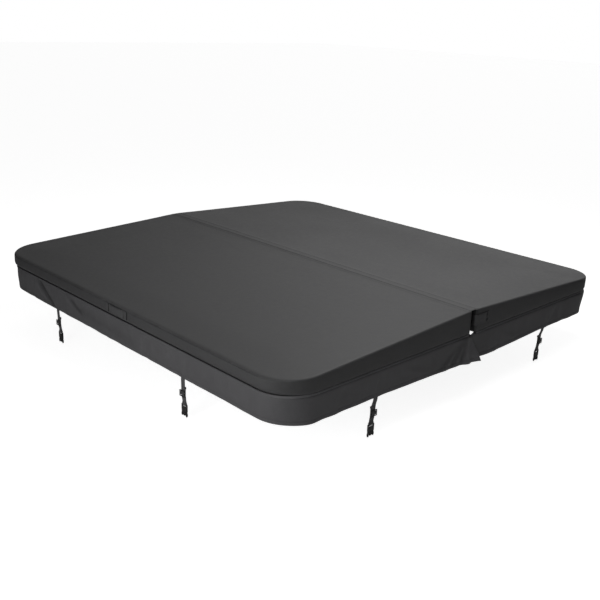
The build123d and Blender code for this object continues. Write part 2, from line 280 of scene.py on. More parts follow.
def vinyl(name, base, dark=0.82, light=1.16, rough=(0.50, 0.66), grain=0.16, sheen=0.0):
    """Marine vinyl on a knitted back: pebble grain, faint cloth telegraphing through, slow tone drift."""
    m = Nodes(name)
    obj = m.mapped((1, 1, 1))
    # pebble grain about 1.1 mm across, with finer pores
    v = m.add("ShaderNodeTexVoronoi", Scale=900.0)
    v.feature = "SMOOTH_F1"
    v.inputs["Smoothness"].default_value = 0.6
    warp = m.add("ShaderNodeVectorMath")
    warp.operation = "MULTIPLY_ADD"
    wn = m.add("ShaderNodeTexNoise", Scale=420.0, Detail=2.0)
    m.link(obj, wn.inputs["Vector"])
    m.link(wn.outputs["Color"], warp.inputs[0])
    warp.inputs[1].default_value = (0.0009,) * 3
    m.link(obj, warp.inputs[2])
    m.link(warp.outputs[0], v.inputs["Vector"])
    pores = m.noise(obj, 2600.0, 2.0)
    cloth = m.noise(m.mapped((1, 0.35, 1)), 260.0, 3.0, 0.6)
    slow = m.noise(obj, 2.2, 3.0)
    mid = m.noise(obj, 46.0, 4.0, 0.62)
    h = m.math("ADD", m.math("MULTIPLY", v.outputs["Distance"], 0.9), m.math("MULTIPLY", pores, 0.25))
    n1 = m.bump(h, grain, 0.0005)
    n2 = m.bump(cloth, grain * 0.9, 0.0011, n1)
    n3 = m.bump(mid, 0.10, 0.0035, n2)
    m.link(n3, m.bsdf.inputs["Normal"])
    tone = m.math("ADD", m.math("MULTIPLY", slow, 0.55), m.math("MULTIPLY", mid, 0.30))
    tone = m.math("ADD", tone, m.math("MULTIPLY", cloth, 0.15))
    b = np.array(base)
    col = m.ramp(tone, [(0.30, tuple(b * dark)), (0.50, tuple(b)), (0.72, tuple(b * light))])
    # dust and wear lighten the raised edges a little
    geo = m.add("ShaderNodeNewGeometry")
    edge = m.ramp(geo.outputs["Pointiness"], [(0.50, (0, 0, 0)), (0.56, (1, 1, 1))])
    mix = m.add("ShaderNodeMix", data_type="RGBA")
    m.link(m.math("MULTIPLY", edge, m.math("MULTIPLY", mid, 0.55)), mix.inputs[0])
    m.link(col, mix.inputs[6])
    mix.inputs[7].default_value = (*(b * 1.9 + 0.01), 1)
    # painted shade: an ambient occlusion ramp darkens the colour in seams, folds and recesses, and the per-point
    # painted shading darkens it further (negative values give a painted highlight)
    ao = m.add("ShaderNodeAmbientOcclusion", Distance=0.030)
    ao.samples = 6
    deep = m.ramp(ao.outputs["AO"], [(0.28, (0.14,) * 3), (0.84, (1.0,) * 3)])
    seam = m.add("ShaderNodeMix", data_type="RGBA")
    seam.blend_type = "MULTIPLY"
    seam.inputs[0].default_value = 1.0
    m.link(mix.outputs[2], seam.inputs[6])
    painted_shading = m.add("ShaderNodeAttribute")
    painted_shading.attribute_name = "painted_shading"
    kept = m.math("SUBTRACT", 1.0, m.math("MULTIPLY", painted_shading.outputs["Fac"], 0.78))
    both = m.add("ShaderNodeMix", data_type="RGBA")
    both.blend_type = "MULTIPLY"
    both.inputs[0].default_value = 1.0
    m.link(deep, both.inputs[6])
    m.link(kept, both.inputs[7])
    m.link(both.outputs[2], seam.inputs[7])
    m.link(seam.outputs[2], m.bsdf.inputs["Base Color"])
    r = m.ramp(m.math("ADD", m.math("MULTIPLY", slow, 0.5), m.math("MULTIPLY", mid, 0.5)),
               [(0.3, (rough[0],) * 3), (0.7, (rough[1],) * 3)])
    m.link(r, m.bsdf.inputs["Roughness"])
    m.bsdf.inputs["Specular IOR Level"].default_value = 0.42
    m.bsdf.inputs["Sheen Weight"].default_value = sheen
    m.bsdf.inputs["Sheen Roughness"].default_value = 0.5
    return m.mat


def webbing_mat(name, base):
    """Flat woven strap: ribs along the length, picks across, UV in metres."""
    m = Nodes(name)
    uv = m.mapped((1, 1, 1), uv=True)
    sep = m.add("ShaderNodeSeparateXYZ")
    m.link(uv, sep.inputs[0])
    x, y = sep.outputs[0], sep.outputs[1]
    ribs = m.math("SINE", m.math("MULTIPLY", x, 2 * math.pi / 0.0021))
    par = m.math("SIGN", m.math("SINE", m.math("MULTIPLY", x, math.pi / 0.0021)))
    picks = m.math("SINE", m.math("ADD", m.math("MULTIPLY", y, 2 * math.pi / 0.0016), m.math("MULTIPLY", par, 1.5708)))
    h = m.math("ADD", m.math("MULTIPLY", m.math("ABSOLUTE", ribs), 0.6), m.math("MULTIPLY", picks, 0.4))
    fuzz = m.noise(m.mapped((1, 1, 1)), 1800.0, 2.0)
    n1 = m.bump(h, 0.55, 0.0005)
    n2 = m.bump(fuzz, 0.3, 0.0003, n1)
    m.link(n2, m.bsdf.inputs["Normal"])
    b = np.array(base)
    shade = m.math("ADD", m.math("MULTIPLY", h, 0.35), m.math("MULTIPLY", fuzz, 0.5))
    col = m.ramp(shade, [(0.05, tuple(b * 0.45)), (0.45, tuple(b)), (0.85, tuple(b * 1.7))])
    m.link(col, m.bsdf.inputs["Base Color"])
    m.bsdf.inputs["Roughness"].default_value = 0.78
    m.bsdf.inputs["Sheen Weight"].default_value = 0.25
    return m.mat


def plastic(name, base, rough=(0.34, 0.5)):
    """Moulded acetal: faint spark texture, rubbed edges."""
    m = Nodes(name)
    obj = m.mapped((1, 1, 1))
    spark = m.noise(obj, 1500.0, 2.0)
    slow = m.noise(obj, 60.0, 3.0)
    m.link(m.bump(spark, 0.12, 0.0003), m.bsdf.inputs["Normal"])
    b = np.array(base)
    geo = m.add("ShaderNodeNewGeometry")
    edge = m.ramp(geo.outputs["Pointiness"], [(0.52, (0, 0, 0)), (0.62, (1, 1, 1))])
    col = m.ramp(slow, [(0.3, tuple(b * 0.8)), (0.7, tuple(b * 1.25))])
    mix = m.add("ShaderNodeMix", data_type="RGBA")
    m.link(m.math("MULTIPLY", edge, 0.5), mix.inputs[0])
    m.link(col, mix.inputs[6])
    mix.inputs[7].default_value = (*(b * 2.2 + 0.012), 1)
    m.link(mix.outputs[2], m.bsdf.inputs["Base Color"])
    r = m.ramp(slow, [(0.3, (rough[0],) * 3), (0.7, (rough[1],) * 3)])
    m.link(r, m.bsdf.inputs["Roughness"])
    return m.mat


def liner_mat(name, base):
    """Coated woven polyethylene scrim: fine crossed tapes under a dull coating."""
    m = Nodes(name)
    obj = m.mapped((1, 1, 1))
    sep = m.add("ShaderNodeSeparateXYZ")
    m.link(obj, sep.inputs[0])
    k = 2 * math.pi / 0.0026
    wx = m.math("SINE", m.math("MULTIPLY", sep.outputs[0], k))
    wy = m.math("SINE", m.math("MULTIPLY", sep.outputs[1], k))
    weave = m.math("MULTIPLY", wx, wy)
    slow = m.noise(obj, 3.0, 4.0)
    fine = m.noise(obj, 120.0, 3.0)
    m.link(m.bump(fine, 0.12, 0.001, m.bump(weave, 0.25, 0.0004)), m.bsdf.inputs["Normal"])
    b = np.array(base)
    tone = m.math("ADD", m.math("MULTIPLY", slow, 0.7), m.math("MULTIPLY", fine, 0.3))
    tone = m.math("ADD", tone, m.math("MULTIPLY", weave, 0.03))
    m.link(m.ramp(tone, [(0.3, tuple(b * 0.86)), (0.7, tuple(np.minimum(b * 1.08, 1)))]), m.bsdf.inputs["Base Color"])
    m.bsdf.inputs["Roughness"].default_value = 0.62
    return m.mat


def foam_mat(name):
    m = Nodes(name)
    obj = m.mapped((1, 1, 1))
    v = m.add("ShaderNodeTexVoronoi", Scale=260.0)
    m.link(obj, v.inputs["Vector"])
    m.link(m.bump(v.outputs["Distance"], 0.5, 0.001), m.bsdf.inputs["Normal"])
    m.link(m.ramp(v.outputs["Distance"], [(0.0, (0.93, 0.93, 0.91)), (0.8, (0.78, 0.78, 0.76))]), m.bsdf.inputs["Base Color"])
    m.bsdf.inputs["Roughness"].default_value = 0.9
    return m.mat


def film_mat(name):
    m = Nodes(name)
    obj = m.mapped((1, 1, 1))
    cr = m.noise(obj, 22.0, 5.0, 0.7)
    m.link(m.bump(cr, 0.6, 0.004), m.bsdf.inputs["Normal"])
    m.link(m.ramp(cr, [(0.3, (0.70, 0.73, 0.76)), (0.7, (0.86, 0.88, 0.90))]), m.bsdf.inputs["Base Color"])
    m.bsdf.inputs["Roughness"].default_value = 0.22
    return m.mat


def galvanised_mat(name):
    m = Nodes(name)
    obj = m.mapped((1, 1, 1))
    v = m.add("ShaderNodeTexVoronoi", Scale=90.0)
    m.link(obj, v.inputs["Vector"])
    m.link(m.ramp(v.outputs["Color"], [(0.2, (0.42, 0.44, 0.46)), (0.8, (0.66, 0.68, 0.70))]), m.bsdf.inputs["Base Color"])
    m.bsdf.inputs["Metallic"].default_value = 1.0
    m.link(m.ramp(v.outputs["Distance"], [(0.0, (0.28,) * 3), (0.8, (0.5,) * 3)]), m.bsdf.inputs["Roughness"])
    return m.mat


def thread_mat(name, base):
    """Twisted bonded polyester sewing thread."""
    m = Nodes(name)
    obj = m.mapped((1, 1, 1))
    tw = m.noise(obj, 3000.0, 2.0)
    b = np.array(base)
    m.link(m.ramp(tw, [(0.3, tuple(b * 0.7)), (0.7, tuple(b * 1.4))]), m.bsdf.inputs["Base Color"])
    m.link(m.bump(tw, 0.4, 0.0003), m.bsdf.inputs["Normal"])
    m.bsdf.inputs["Roughness"].default_value = 0.6
    return m.mat


TOP = vinyl("vinyl_top", (0.070, 0.070, 0.071))
BAND = vinyl("vinyl_band", (0.044, 0.044, 0.0455))
SKIRT = vinyl("vinyl_skirt", (0.080, 0.079, 0.083), grain=0.14)
HANDLE = vinyl("vinyl_handle", (0.055, 0.055, 0.057), grain=0.18)
SEAL = vinyl("vinyl_seal", (0.030, 0.030, 0.031))
WEB = webbing_mat("webbing", (0.060, 0.060, 0.062))
CLIP = plastic("acetal", (0.012, 0.012, 0.012))
LINER = liner_mat("liner_scrim", (0.50, 0.51, 0.52))
FOAM = foam_mat("eps_foam")
FILM = film_mat("poly_film")
GALV = galvanised_mat("galvanised")
THREAD = thread_mat("thread", (0.055, 0.055, 0.057))
ZIPTAPE = webbing_mat("zip_tape", (0.022, 0.022, 0.023))
ZIPPL = plastic("zip_plastic", (0.015, 0.015, 0.016), (0.25, 0.4))
ZIPM = plastic("zip_enamel", (0.02, 0.02, 0.021), (0.22, 0.36))

CAD_MATS = {
    "foam_core": FOAM, "vapour_barrier": FILM, "c_channel": GALV, "top_vinyl": TOP, "side_band": BAND,
    "underside_liner": LINER, "welt": BAND, "skirt": SKIRT, "hinge_strip": TOP, "handle": HANDLE,
    "zip_tape": ZIPTAPE, "zip_teeth": ZIPPL, "zip_slider": ZIPM, "zip_pull": ZIPM, "strap_roots": WEB,
    "steam_seal": SEAL, "webbing": WEB, "adjuster": CLIP,
}
for name, node in frame["nodes"].items():
    key = next((k for k in CAD_MATS if name.endswith(k)), None)
    mat = CAD_MATS.get(key, HANDLE if name.startswith("fold_handle") else CLIP)
    node.data.materials.clear()
    node.data.materials.append(mat)

def simulate(o, pin, frames=16, gravity=0.0, pressure=0.0, mass=0.3, tension=15.0, bend=2.0, shrink=0.0, cap=0.005, axis_cap=None):
    """Cloth run on o with the given pin weights. Movement is capped, the result is written to the mesh, no modifier stays."""
    me = o.data
    n = len(me.vertices)
    rest = np.zeros(n * 3)
    me.vertices.foreach_get("co", rest)
    rest = rest.reshape(-1, 3)
    vg = o.vertex_groups.new(name="pin")
    for lvl in range(1, 21):
        ids = np.nonzero((pin > (lvl - 1) / 20) & (pin <= lvl / 20))[0]
        if len(ids):
            vg.add([int(i) for i in ids], lvl / 20, "REPLACE")
    m = o.modifiers.new("cloth", "CLOTH")
    st = m.settings
    st.quality = 5
    st.mass = mass
    st.air_damping = 2.0
    st.tension_stiffness = st.compression_stiffness = tension
    st.shear_stiffness = tension * 0.4
    st.bending_stiffness = bend
    st.vertex_group_mass = "pin"
    st.pin_stiffness = 1.0
    st.shrink_min = shrink
    st.effector_weights.gravity = gravity
    if pressure:
        st.use_pressure = True
        st.uniform_pressure_force = pressure
    m.collision_settings.use_collision = False
    m.point_cache.frame_start = 1
    m.point_cache.frame_end = frames
    sc = bpy.context.scene
    sc.frame_start, sc.frame_end = 1, frames
    for f in range(1, frames + 1):
        sc.frame_set(f)
    dg = bpy.context.evaluated_depsgraph_get()
    ev = o.evaluated_get(dg)
    got = np.zeros(n * 3)
    ev.data.vertices.foreach_get("co", got)
    got = got.reshape(-1, 3)
    o.modifiers.remove(m)
    o.vertex_groups.remove(vg)
    sc.frame_set(1)
    d = got - rest
    d[~np.isfinite(d).all(1)] = 0
    L = np.linalg.norm(d, axis=1)
    k = np.where(L > 1e-9, cap * np.tanh(L / cap) / np.maximum(L, 1e-9), 0.0)
    d *= k[:, None]
    print("cloth", o.name, "mean", round(float(L.mean()) * 1000, 2), "max", round(float(L.max()) * 1000, 2), "mm")
    out = rest + d
    me.vertices.foreach_set("co", out.ravel())
    me.update()
    return out


# ------------------------------------------------------------------ the panel envelope
NX, NY, NC, NA = 62, 124, 22, 4     # stations on the sides, the outer corners and the fold-side corners


def ring_xy(d):
    """Plan outline of the near panel moved in by d, with its outward normals. Counter-clockwise from the front side."""
    pts, nrm = [], []
    r, rh = max(R - d, 0.0), max(RH - d, 0.0)
    ci = H - max(R, d)                     # outer corner centre
    cx, cy = -(G + max(RH, d)), H - max(RH, d)
    for t in np.arange(NX) / NX:           # front
        pts.append((-ci + (cx + ci) * t, -(H - d))); nrm.append((0, -1))
    for a in np.arange(NA) / NA * math.pi / 2:
        pts.append((cx + rh * math.sin(a), -cy - rh * math.cos(a))); nrm.append((math.sin(a), -math.cos(a)))
    for t in np.arange(NY) / NY:           # fold side
        pts.append((-(G + d), -cy + 2 * cy * t)); nrm.append((1, 0))
    for a in np.arange(NA) / NA * math.pi / 2:
        pts.append((cx + rh * math.cos(a), cy + rh * math.sin(a))); nrm.append((math.cos(a), math.sin(a)))
    for t in np.arange(NX) / NX:           # back
        pts.append((cx + (-ci - cx) * t, H - d)); nrm.append((0, 1))
    for a in np.arange(NC) / NC * math.pi / 2:
        pts.append((-ci - r * math.sin(a), ci + r * math.cos(a))); nrm.append((-math.sin(a), math.cos(a)))
    for t in np.arange(NY) / NY:           # outer side
        pts.append((-(H - d), ci - 2 * ci * t)); nrm.append((-1, 0))
    for a in np.arange(NC) / NC * math.pi / 2:
        pts.append((-ci - r * math.cos(a), -ci - r * math.sin(a))); nrm.append((-math.cos(a), -math.sin(a)))
    return np.array(pts), np.array(nrm)


N = 2 * NX + 2 * NA + 2 * NY + 2 * NC
OUTLINE, OUT_N = ring_xy(0.0)
ARC = np.concatenate([[0], np.cumsum(np.linalg.norm(np.roll(OUTLINE, -1, 0) - OUTLINE, axis=1))])[:N]
FOLD_SIDE = np.zeros(N, bool)
FOLD_SIDE[NX:NX + 2 * NA + NY] = True

# rounding of the top edge and of the bottom edge: full outside, tighter where the steel channel fills the fold side
_near_fold = np.where(FOLD_SIDE, 0.0, smooth(0.03, 0.16, -OUTLINE[:, 0]))
_end_face = OUT_N[:, 1] ** 2
RE = 0.0048 + 0.0062 * _near_fold * (1 - 0.62 * _end_face)
RB = 0.0046 + 0.0108 * _near_fold * (1 - 0.62 * _end_face)
TOP_D = [0.155, 0.138, 0.120, 0.102, 0.086, 0.071, 0.058, 0.046, 0.036, 0.027, 0.020, 0.0150]
EDGE_PHI = [0, 16, 32, 46, 56, 62]          # the top piece goes over the edge to its seam
SEAM_PHI = 66
EDGE_PHI2 = [70, 76, 90]                    # the band picks up there
BAND_V = [0.07, 0.15, 0.25, 0.37, 0.5, 0.63, 0.75, 0.86, 0.94]
BOT_PHI = [0, 22, 45, 68, 90]
RETURN_D = [0.0153, 0.0171]


def envelope_rows():
    """Rows of the whole envelope from the top's inner ring, over the edge, down the band and under: (points, kind, v)."""
    rows = []
    for d in TOP_D:
        xy, _ = ring_xy(d)
        rows.append((np.c_[xy, top_z(xy[:, 0])], "top", d))
    zt = top_z(OUTLINE[:, 0])

    def offset(d, z, kind, v):
        xy = OUTLINE - OUT_N * np.asarray(d)[:, None]
        rows.append((np.c_[xy, z], kind, v))

    for deg in EDGE_PHI + [SEAM_PHI] + EDGE_PHI2:
        a = math.radians(deg)
        offset(RE * (1 - math.sin(a)), zt - RE * (1 - math.cos(a)), "edge" if deg < SEAM_PHI else "seam" if deg == SEAM_PHI else "band", deg)
    for v in BAND_V:
        offset(RE * 0, (zt - RE) * (1 - v) + RB * v, "band", v)
    for deg in BOT_PHI:
        a = math.radians(deg)
        offset(RB * (1 - math.cos(a)), RB * (1 - math.sin(a)), "band", 1.0)
    for d in RETURN_D:
        xy, _ = ring_xy(d)
        rows.append((np.c_[xy, np.zeros(N)], "under", d))
    return rows


def inner_grid(z_of):
    """The rectangle inside the top's inner ring, on the same stations."""
    d = TOP_D[0]
    ci, cx = H - R, -(G + d)
    xs = -ci + (cx + ci) * np.arange(NX + 1) / NX
    ys = -(H - d) + 2 * (H - d) * np.arange(NY + 1) / NY
    X, Y = np.meshgrid(xs, ys, indexing="ij")
    return np.c_[X.ravel(), Y.ravel(), z_of(X.ravel())]


def ring_index_on_grid():
    """Grid index of each ring station of the inner ring."""
    idx = np.zeros(N, int)
    w = NY + 1
    k = 0
    for i in range(NX):
        idx[k] = i * w; k += 1
    for i in range(NA):
        idx[k] = NX * w; k += 1
    for j in range(NY):
        idx[k] = NX * w + j; k += 1
    for i in range(NA):
        idx[k] = NX * w + NY; k += 1
    for i in range(NX):
        idx[k] = (NX - i) * w + NY; k += 1
    for i in range(NC):
        idx[k] = NY; k += 1
    for j in range(NY):
        idx[k] = NY - j; k += 1
    for i in range(NC):
        idx[k] = 0; k += 1
    return idx


GRID_ON = ring_index_on_grid()


def panel_mesh(shrink=0.0):
    """One closed near-side envelope: (verts, row index arrays, rows, faces, face range of each row)."""
    rows = envelope_rows()
    verts = [inner_grid(top_z)]
    index = [GRID_ON.copy()]
    n = len(verts[0])
    for p, _, _ in rows[1:]:
        verts.append(p)
        index.append(np.arange(n, n + N))
        n += N
    for d in (0.03, 0.06, 0.10):
        xy, _ = ring_xy(d)
        verts.append(np.c_[xy, np.zeros(N)])
        index.append(np.arange(n, n + N))
        n += N
    verts.append(inner_grid(lambda x: np.zeros_like(x)))
    index.append(GRID_ON + n)
    faces, spans = [], []
    w = NY + 1
    for i in range(NX):
        for j in range(NY):
            a = i * w + j
            faces.append((a, a + w, a + w + 1, a + 1))
    for r in range(len(index) - 1):
        a, b = index[r], index[r + 1]
        start = len(faces)
        for c in range(N):
            e = (c + 1) % N
            out = []
            for x in (a[c], b[c], b[e], a[e]):
                if x not in out:
                    out.append(x)
            if len(out) > 2:
                faces.append(tuple(out))
        spans.append((start, len(faces)))
    for i in range(NX):
        for j in range(NY):
            a = n + i * w + j
            faces.append((a + 1, a + w + 1, a + w, a))
    return np.concatenate(verts), index, rows, faces, spans


PV, PINDEX, PROWS, PFACES, PSPANS = panel_mesh()
NGRID = (NX + 1) * (NY + 1)
SEAM_ROW = next(i for i, r in enumerate(PROWS) if r[1] == "seam")
UNDER_ROW = len(PROWS) - 1


def inset_of(p):
    """How far a plan point lies in from the three free sides of its panel."""
    x, y = np.abs(p[:, 0]), np.abs(p[:, 1])
    d = np.minimum(H - x, H - y)
    cx, cy = x - (H - R), y - (H - R)
    corner = (cx > 0) & (cy > 0)
    return np.where(corner, R - np.hypot(cx, cy), d)


def handle_mask(side, p):
    """1 where a sewn handle holds the band flat against the core."""
    x, y = p[:, 0], p[:, 1]
    outer = (1 - smooth(0.095, 0.17, np.abs(y))) * smooth(0.9, 1.0, np.abs(x))
    if side > 0:
        fold = (1 - smooth(0.125, 0.19, np.abs(x))) * smooth(0.9, 1.0, np.abs(y))
        return np.maximum(outer, fold)
    return outer


def panel_displacement(side, seed):
    """How far each envelope point stands off the plain wedge: (N,3), near-side coordinates."""
    P = PV
    D = np.zeros_like(P)
    Q = P * np.array([1, 1, 1.0])
    d = inset_of(P)
    fold = np.abs(P[:, 0]) - G
    # ---- top: crown under tension, slow undulation, fine gathers along the seams
    top = np.zeros(len(P), bool)
    top[:NGRID] = True
    for r in range(SEAM_ROW):
        top[PINDEX[r]] = True
    grow = np.minimum(0.0010 + 0.0055 * np.abs(P[:, 0]), 0.0036)
    crown = grow * smooth(0.0, 0.19, d) * smooth(0.020, 0.16, fold)
    slow = fbm(Q, 1.9, 3, seed) * 0.00055 + fbm(Q * np.array([1, 0.45, 1]), 5.5, 2, seed + 3) * 0.00022
    slow *= smooth(0.0, 0.06, d) * smooth(0.01, 0.10, fold)
    # gathers: short ridges at right angles to the nearest seam
    along = np.where(H - np.abs(P[:, 0]) < H - np.abs(P[:, 1]), P[:, 1], P[:, 0])
    g = vnoise(np.c_[along * 34.0, d * 9.0, np.full(len(P), seed * 1.7)], seed + 5)
    g2 = vnoise(np.c_[along * 13.0, d * 6.0, np.full(len(P), seed * 2.3)], seed + 6)
    gather = (0.00028 * g + 0.00035 * g2) * (1 - smooth(0.006, 0.060, d)) * smooth(0.002, 0.012, d)
    # the fold side gathers where the hinge strip is sewn down, worst at its two ends
    gf = vnoise(np.c_[P[:, 1] * 26.0, fold * 11.0, np.full(len(P), seed * 3.1)], seed + 7)
    ends = 0.45 + 1.1 * smooth(0.62, 1.0, np.abs(P[:, 1]))
    streak = 0.00030 * gf * (1 - smooth(0.02, 0.13, fold)) * smooth(0.022, 0.034, fold) * ends
    D[top, 2] += (crown + slow + gather + streak)[top]
    # ---- band: stuffed look between its two seams
    for r in range(SEAM_ROW, len(PROWS)):
        idx = PINDEX[r]
        p, kind, v = PROWS[r]
        n3 = np.c_[OUT_N, np.zeros(N)]
        s = ARC
        if kind == "seam":
            D[idx] += n3 * -0.0002 + np.array([0, 0, -0.00015])
            continue
        if kind == "under":
            D[idx, 2] += 0.0002 * vnoise(np.c_[s * 20, np.full(N, 3.0), np.zeros(N)], seed)
            continue
        z0, z1 = RB * 0, top_z(p[:, 0])
        t = np.clip((p[:, 2] - z0) / (z1 - z0), 0, 1)
        hold = 1 - 0.88 * handle_mask(side, p)
        along_var = 0.75 + 0.35 * vnoise(np.c_[s * 2.6, np.zeros(N), np.full(N, 1.3)], seed + 11)
        corner = np.where((np.abs(p[:, 0]) > H - R) & (np.abs(p[:, 1]) > H - R), 0.55, 1.0)
        puff = 0.0034 * np.sin(np.pi * np.clip(t, 0, 1)) ** 0.75 * along_var * hold * corner
        puff = np.where(FOLD_SIDE, puff * 0.30, puff * (1 - 0.45 * _end_face))
        ripple = 0.00045 * vnoise(np.c_[s * 22.0, t * 2.0, np.full(N, 4.4)], seed + 12) \
            + 0.00060 * vnoise(np.c_[s * 7.0, t * 1.5, np.full(N, 6.4)], seed + 13)
        ripple *= np.sin(np.pi * np.clip(t, 0.0, 1)) ** 0.5 * np.where(FOLD_SIDE, 0.4, 1.0) * (0.4 + 0.6 * hold)
        # gathers near both seams
        ripple += 0.0003 * vnoise(np.c_[s * 55.0, np.zeros(N), np.full(N, 8.4)], seed + 14) * (np.exp(-((t - 0.93) / 0.08) ** 2) + np.exp(-((t - 0.06) / 0.08) ** 2))
        D[idx] += n3 * (puff + ripple)[:, None]
        # the band hangs a touch below the core between handle and corner
        if t.max() < 0.25:
            D[idx, 2] -= 0.0009 * (1 - smooth(0.0, 0.2, t)) * np.where(FOLD_SIDE, 0.0, 1.0) * along_var
    return D


def sided(V, side):
    V = np.array(V, float)
    if side > 0:
        V = V * np.array([-1, 1, 1])
    return V


def sub_mesh(name, V, faces, side, keep_uv=None):
    """Object from some faces of a shared vertex array; mirrored with turned faces on the far side."""
    used = sorted({i for f in faces for i in f})
    m = {u: k for k, u in enumerate(used)}
    W = sided(V[used], side)
    F = [tuple(m[i] for i in f) for f in faces]
    if side > 0:
        F = [f[::-1] for f in F]
    o = new_obj(name, W, F)
    return weld(o, 1e-6)


def outward(o, ref):
    """Faces turned so that they look away from the point ref on average."""
    me = o.data
    c = np.array([p.center for p in me.polygons])
    n = np.array([p.normal for p in me.polygons])
    if (np.einsum("ij,ij->i", c - np.array(ref), n)).sum() < 0:
        bm = bmesh.new()
        bm.from_mesh(me)
        bmesh.ops.reverse_faces(bm, faces=bm.faces)
        bm.to_mesh(me)
        bm.free()
        me.update()
    return o


# ------------------------------------------------------------------ sewing thread
def capsule(length, radius, sides=5):
    """One low stitch along +X, its ends dipping into the cloth: verts and faces."""
    xs = np.array([-0.5, -0.36, 0.0, 0.36, 0.5]) * length
    lift = np.array([-1.3, -0.1, 0.35, -0.1, -1.3]) * radius
    rad = np.array([0.55, 0.95, 1.0, 0.95, 0.55]) * radius
    v = []
    for x, h, r in zip(xs, lift, rad):
        for k in range(sides):
            a = 2 * math.pi * k / sides
            v.append((x, r * math.cos(a), h + r * math.sin(a)))
    f = grid_quads(len(xs), sides, closed=True)
    f.append(tuple(range(sides))[::-1])
    f.append(tuple(range(len(v) - sides, len(v))))
    return np.array(v), f


def stitch_rows(name, rows, pitch=0.0052, gap=0.0014, radius=0.00042):
    """rows: list of (points (M,3), normals (M,3)). A row of lock stitches along each line, one mesh."""
    parts = []
    cap_v, cap_f = capsule(pitch - gap, radius)
    for pts, nrm in rows:
        pts, nrm = np.asarray(pts, float), np.asarray(nrm, float)
        seg = np.linalg.norm(np.diff(pts, axis=0), axis=1)
        s = np.concatenate([[0], np.cumsum(seg)])
        count = max(int(s[-1] / pitch), 1)
        at = (np.arange(count) + 0.5) * s[-1] / count
        P = np.stack([np.interp(at, s, pts[:, k]) for k in range(3)], 1)
        A = np.stack([np.interp(at - 0.0008, s, pts[:, k]) for k in range(3)], 1)
        B = np.stack([np.interp(at + 0.0008, s, pts[:, k]) for k in range(3)], 1)
        Nn = np.stack([np.interp(at, s, nrm[:, k]) for k in range(3)], 1)
        X = B - A
        X /= np.linalg.norm(X, axis=1)[:, None] + 1e-12
        Z = Nn - (Nn * X).sum(1)[:, None] * X
        Z /= np.linalg.norm(Z, axis=1)[:, None] + 1e-12
        Y = np.cross(Z, X)
        allv = P[:, None, :] + cap_v[None, :, 0, None] * X[:, None, :] + cap_v[None, :, 1, None] * Y[:, None, :] + cap_v[None, :, 2, None] * Z[:, None, :]
        k = len(cap_v)
        base = np.arange(count) * k
        fs = [tuple(i + b for i in f) for b in base for f in cap_f]
        parts.append((allv.reshape(-1, 3), fs))
    o = join_meshes(name, parts)
    return set_mat(o, THREAD)


# ------------------------------------------------------------------ panels
BODY = {-1: "near_panel", 1: "far_panel"}
SIDE = {-1: "near", 1: "far"}


def build_panel(side):
    tag, body = SIDE[side], BODY[side]
    seed = 11 if side < 0 else 47
    D = panel_displacement(side, seed)
    V = PV + D
    top_faces = list(PFACES[:NX * NY])
    for r in range(SEAM_ROW):
        top_faces += PFACES[PSPANS[r][0]:PSPANS[r][1]]
    band_faces = []
    for r in range(SEAM_ROW, UNDER_ROW):
        band_faces += PFACES[PSPANS[r][0]:PSPANS[r][1]]
    centre = (side * 0.53, 0, 0.045)
    top = outward(sub_mesh(f"{tag}_top_cover", V, top_faces, side), centre)
    solidify(top, 0.0010)
    set_mat(top, TOP)
    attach(top, body)
    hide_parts(f"{tag}_top_vinyl")
    band = outward(sub_mesh(f"{tag}_band_cover", V, band_faces, side), centre)
    solidify(band, 0.0010)
    at = np.zeros(len(band.data.vertices) * 3)
    band.data.vertices.foreach_get("co", at)
    at = at.reshape(-1, 3)
    # painted shade on the band's two ends where they roll into the fold gap
    set_painted_shading(band, 0.85 * np.exp(-((np.abs(at[:, 0]) - G - 0.001) / 0.0075) ** 2) * (np.abs(at[:, 1]) > H - 0.02))
    set_mat(band, BAND)
    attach(band, body)
    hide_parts(f"{tag}_side_band")
    # foam core and its film, on the same rings a little further in
    used_rows = list(range(len(PINDEX)))
    for name, node, inset, mat, slot in (("foam_body", "foam_core", 0.0031, FOAM, "foam"), ("film_wrap", "vapour_barrier", 0.0017, FILM, "film")):
        W = PV.copy()
        cz = (top_z(W[:, 0])) / 2
        # move in by the inset along plan and height
        n3 = np.zeros_like(W)
        for r in range(len(PROWS)):
            p, kind, v = PROWS[r]
            idx = PINDEX[r]
            if kind == "top":
                n3[idx] = (0, 0, 1)
            elif kind in ("edge", "seam") or (kind == "band" and v > 1.0):
                a = math.radians(v)
                n3[idx] = np.c_[OUT_N * math.sin(a), np.full(N, math.cos(a))]
            elif kind == "band" and v < 1.0:
                n3[idx] = np.c_[OUT_N, np.zeros(N)]
            elif kind == "under":
                n3[idx] = (0, 0, -1)
        k = [i for i, r in enumerate(PROWS) if r[1] == "band" and r[2] == 1.0]
        for deg, i in zip(BOT_PHI, k):
            a = math.radians(deg)
            n3[PINDEX[i]] = np.c_[OUT_N * math.cos(a), np.full(N, -math.sin(a))]
        n3[:NGRID] = (0, 0, 1)
        n3[PINDEX[len(PROWS)][0]:] = (0, 0, -1)
        W = W - n3 * inset
        if node == "foam_core":
            # the steel channel laps the fold side of the core
            near = (-W[:, 0] < 0.060) & (n3[:, 2] > 0.5)
            W[near, 2] -= 0.0016
            near = (-W[:, 0] < 0.060) & (n3[:, 2] < -0.5)
            W[near, 2] += 0.0016
            near = (-W[:, 0] < 0.0205)
            W[near, 0] = np.minimum(W[near, 0], -0.0190)
        o = outward(sub_mesh(f"{tag}_{name}", W, PFACES, side), centre)
        set_mat(o, mat)
        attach(o, body)
        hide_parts(f"{tag}_{node}")
    return V


PANEL_V = {side: build_panel(side) for side in (-1, 1)}


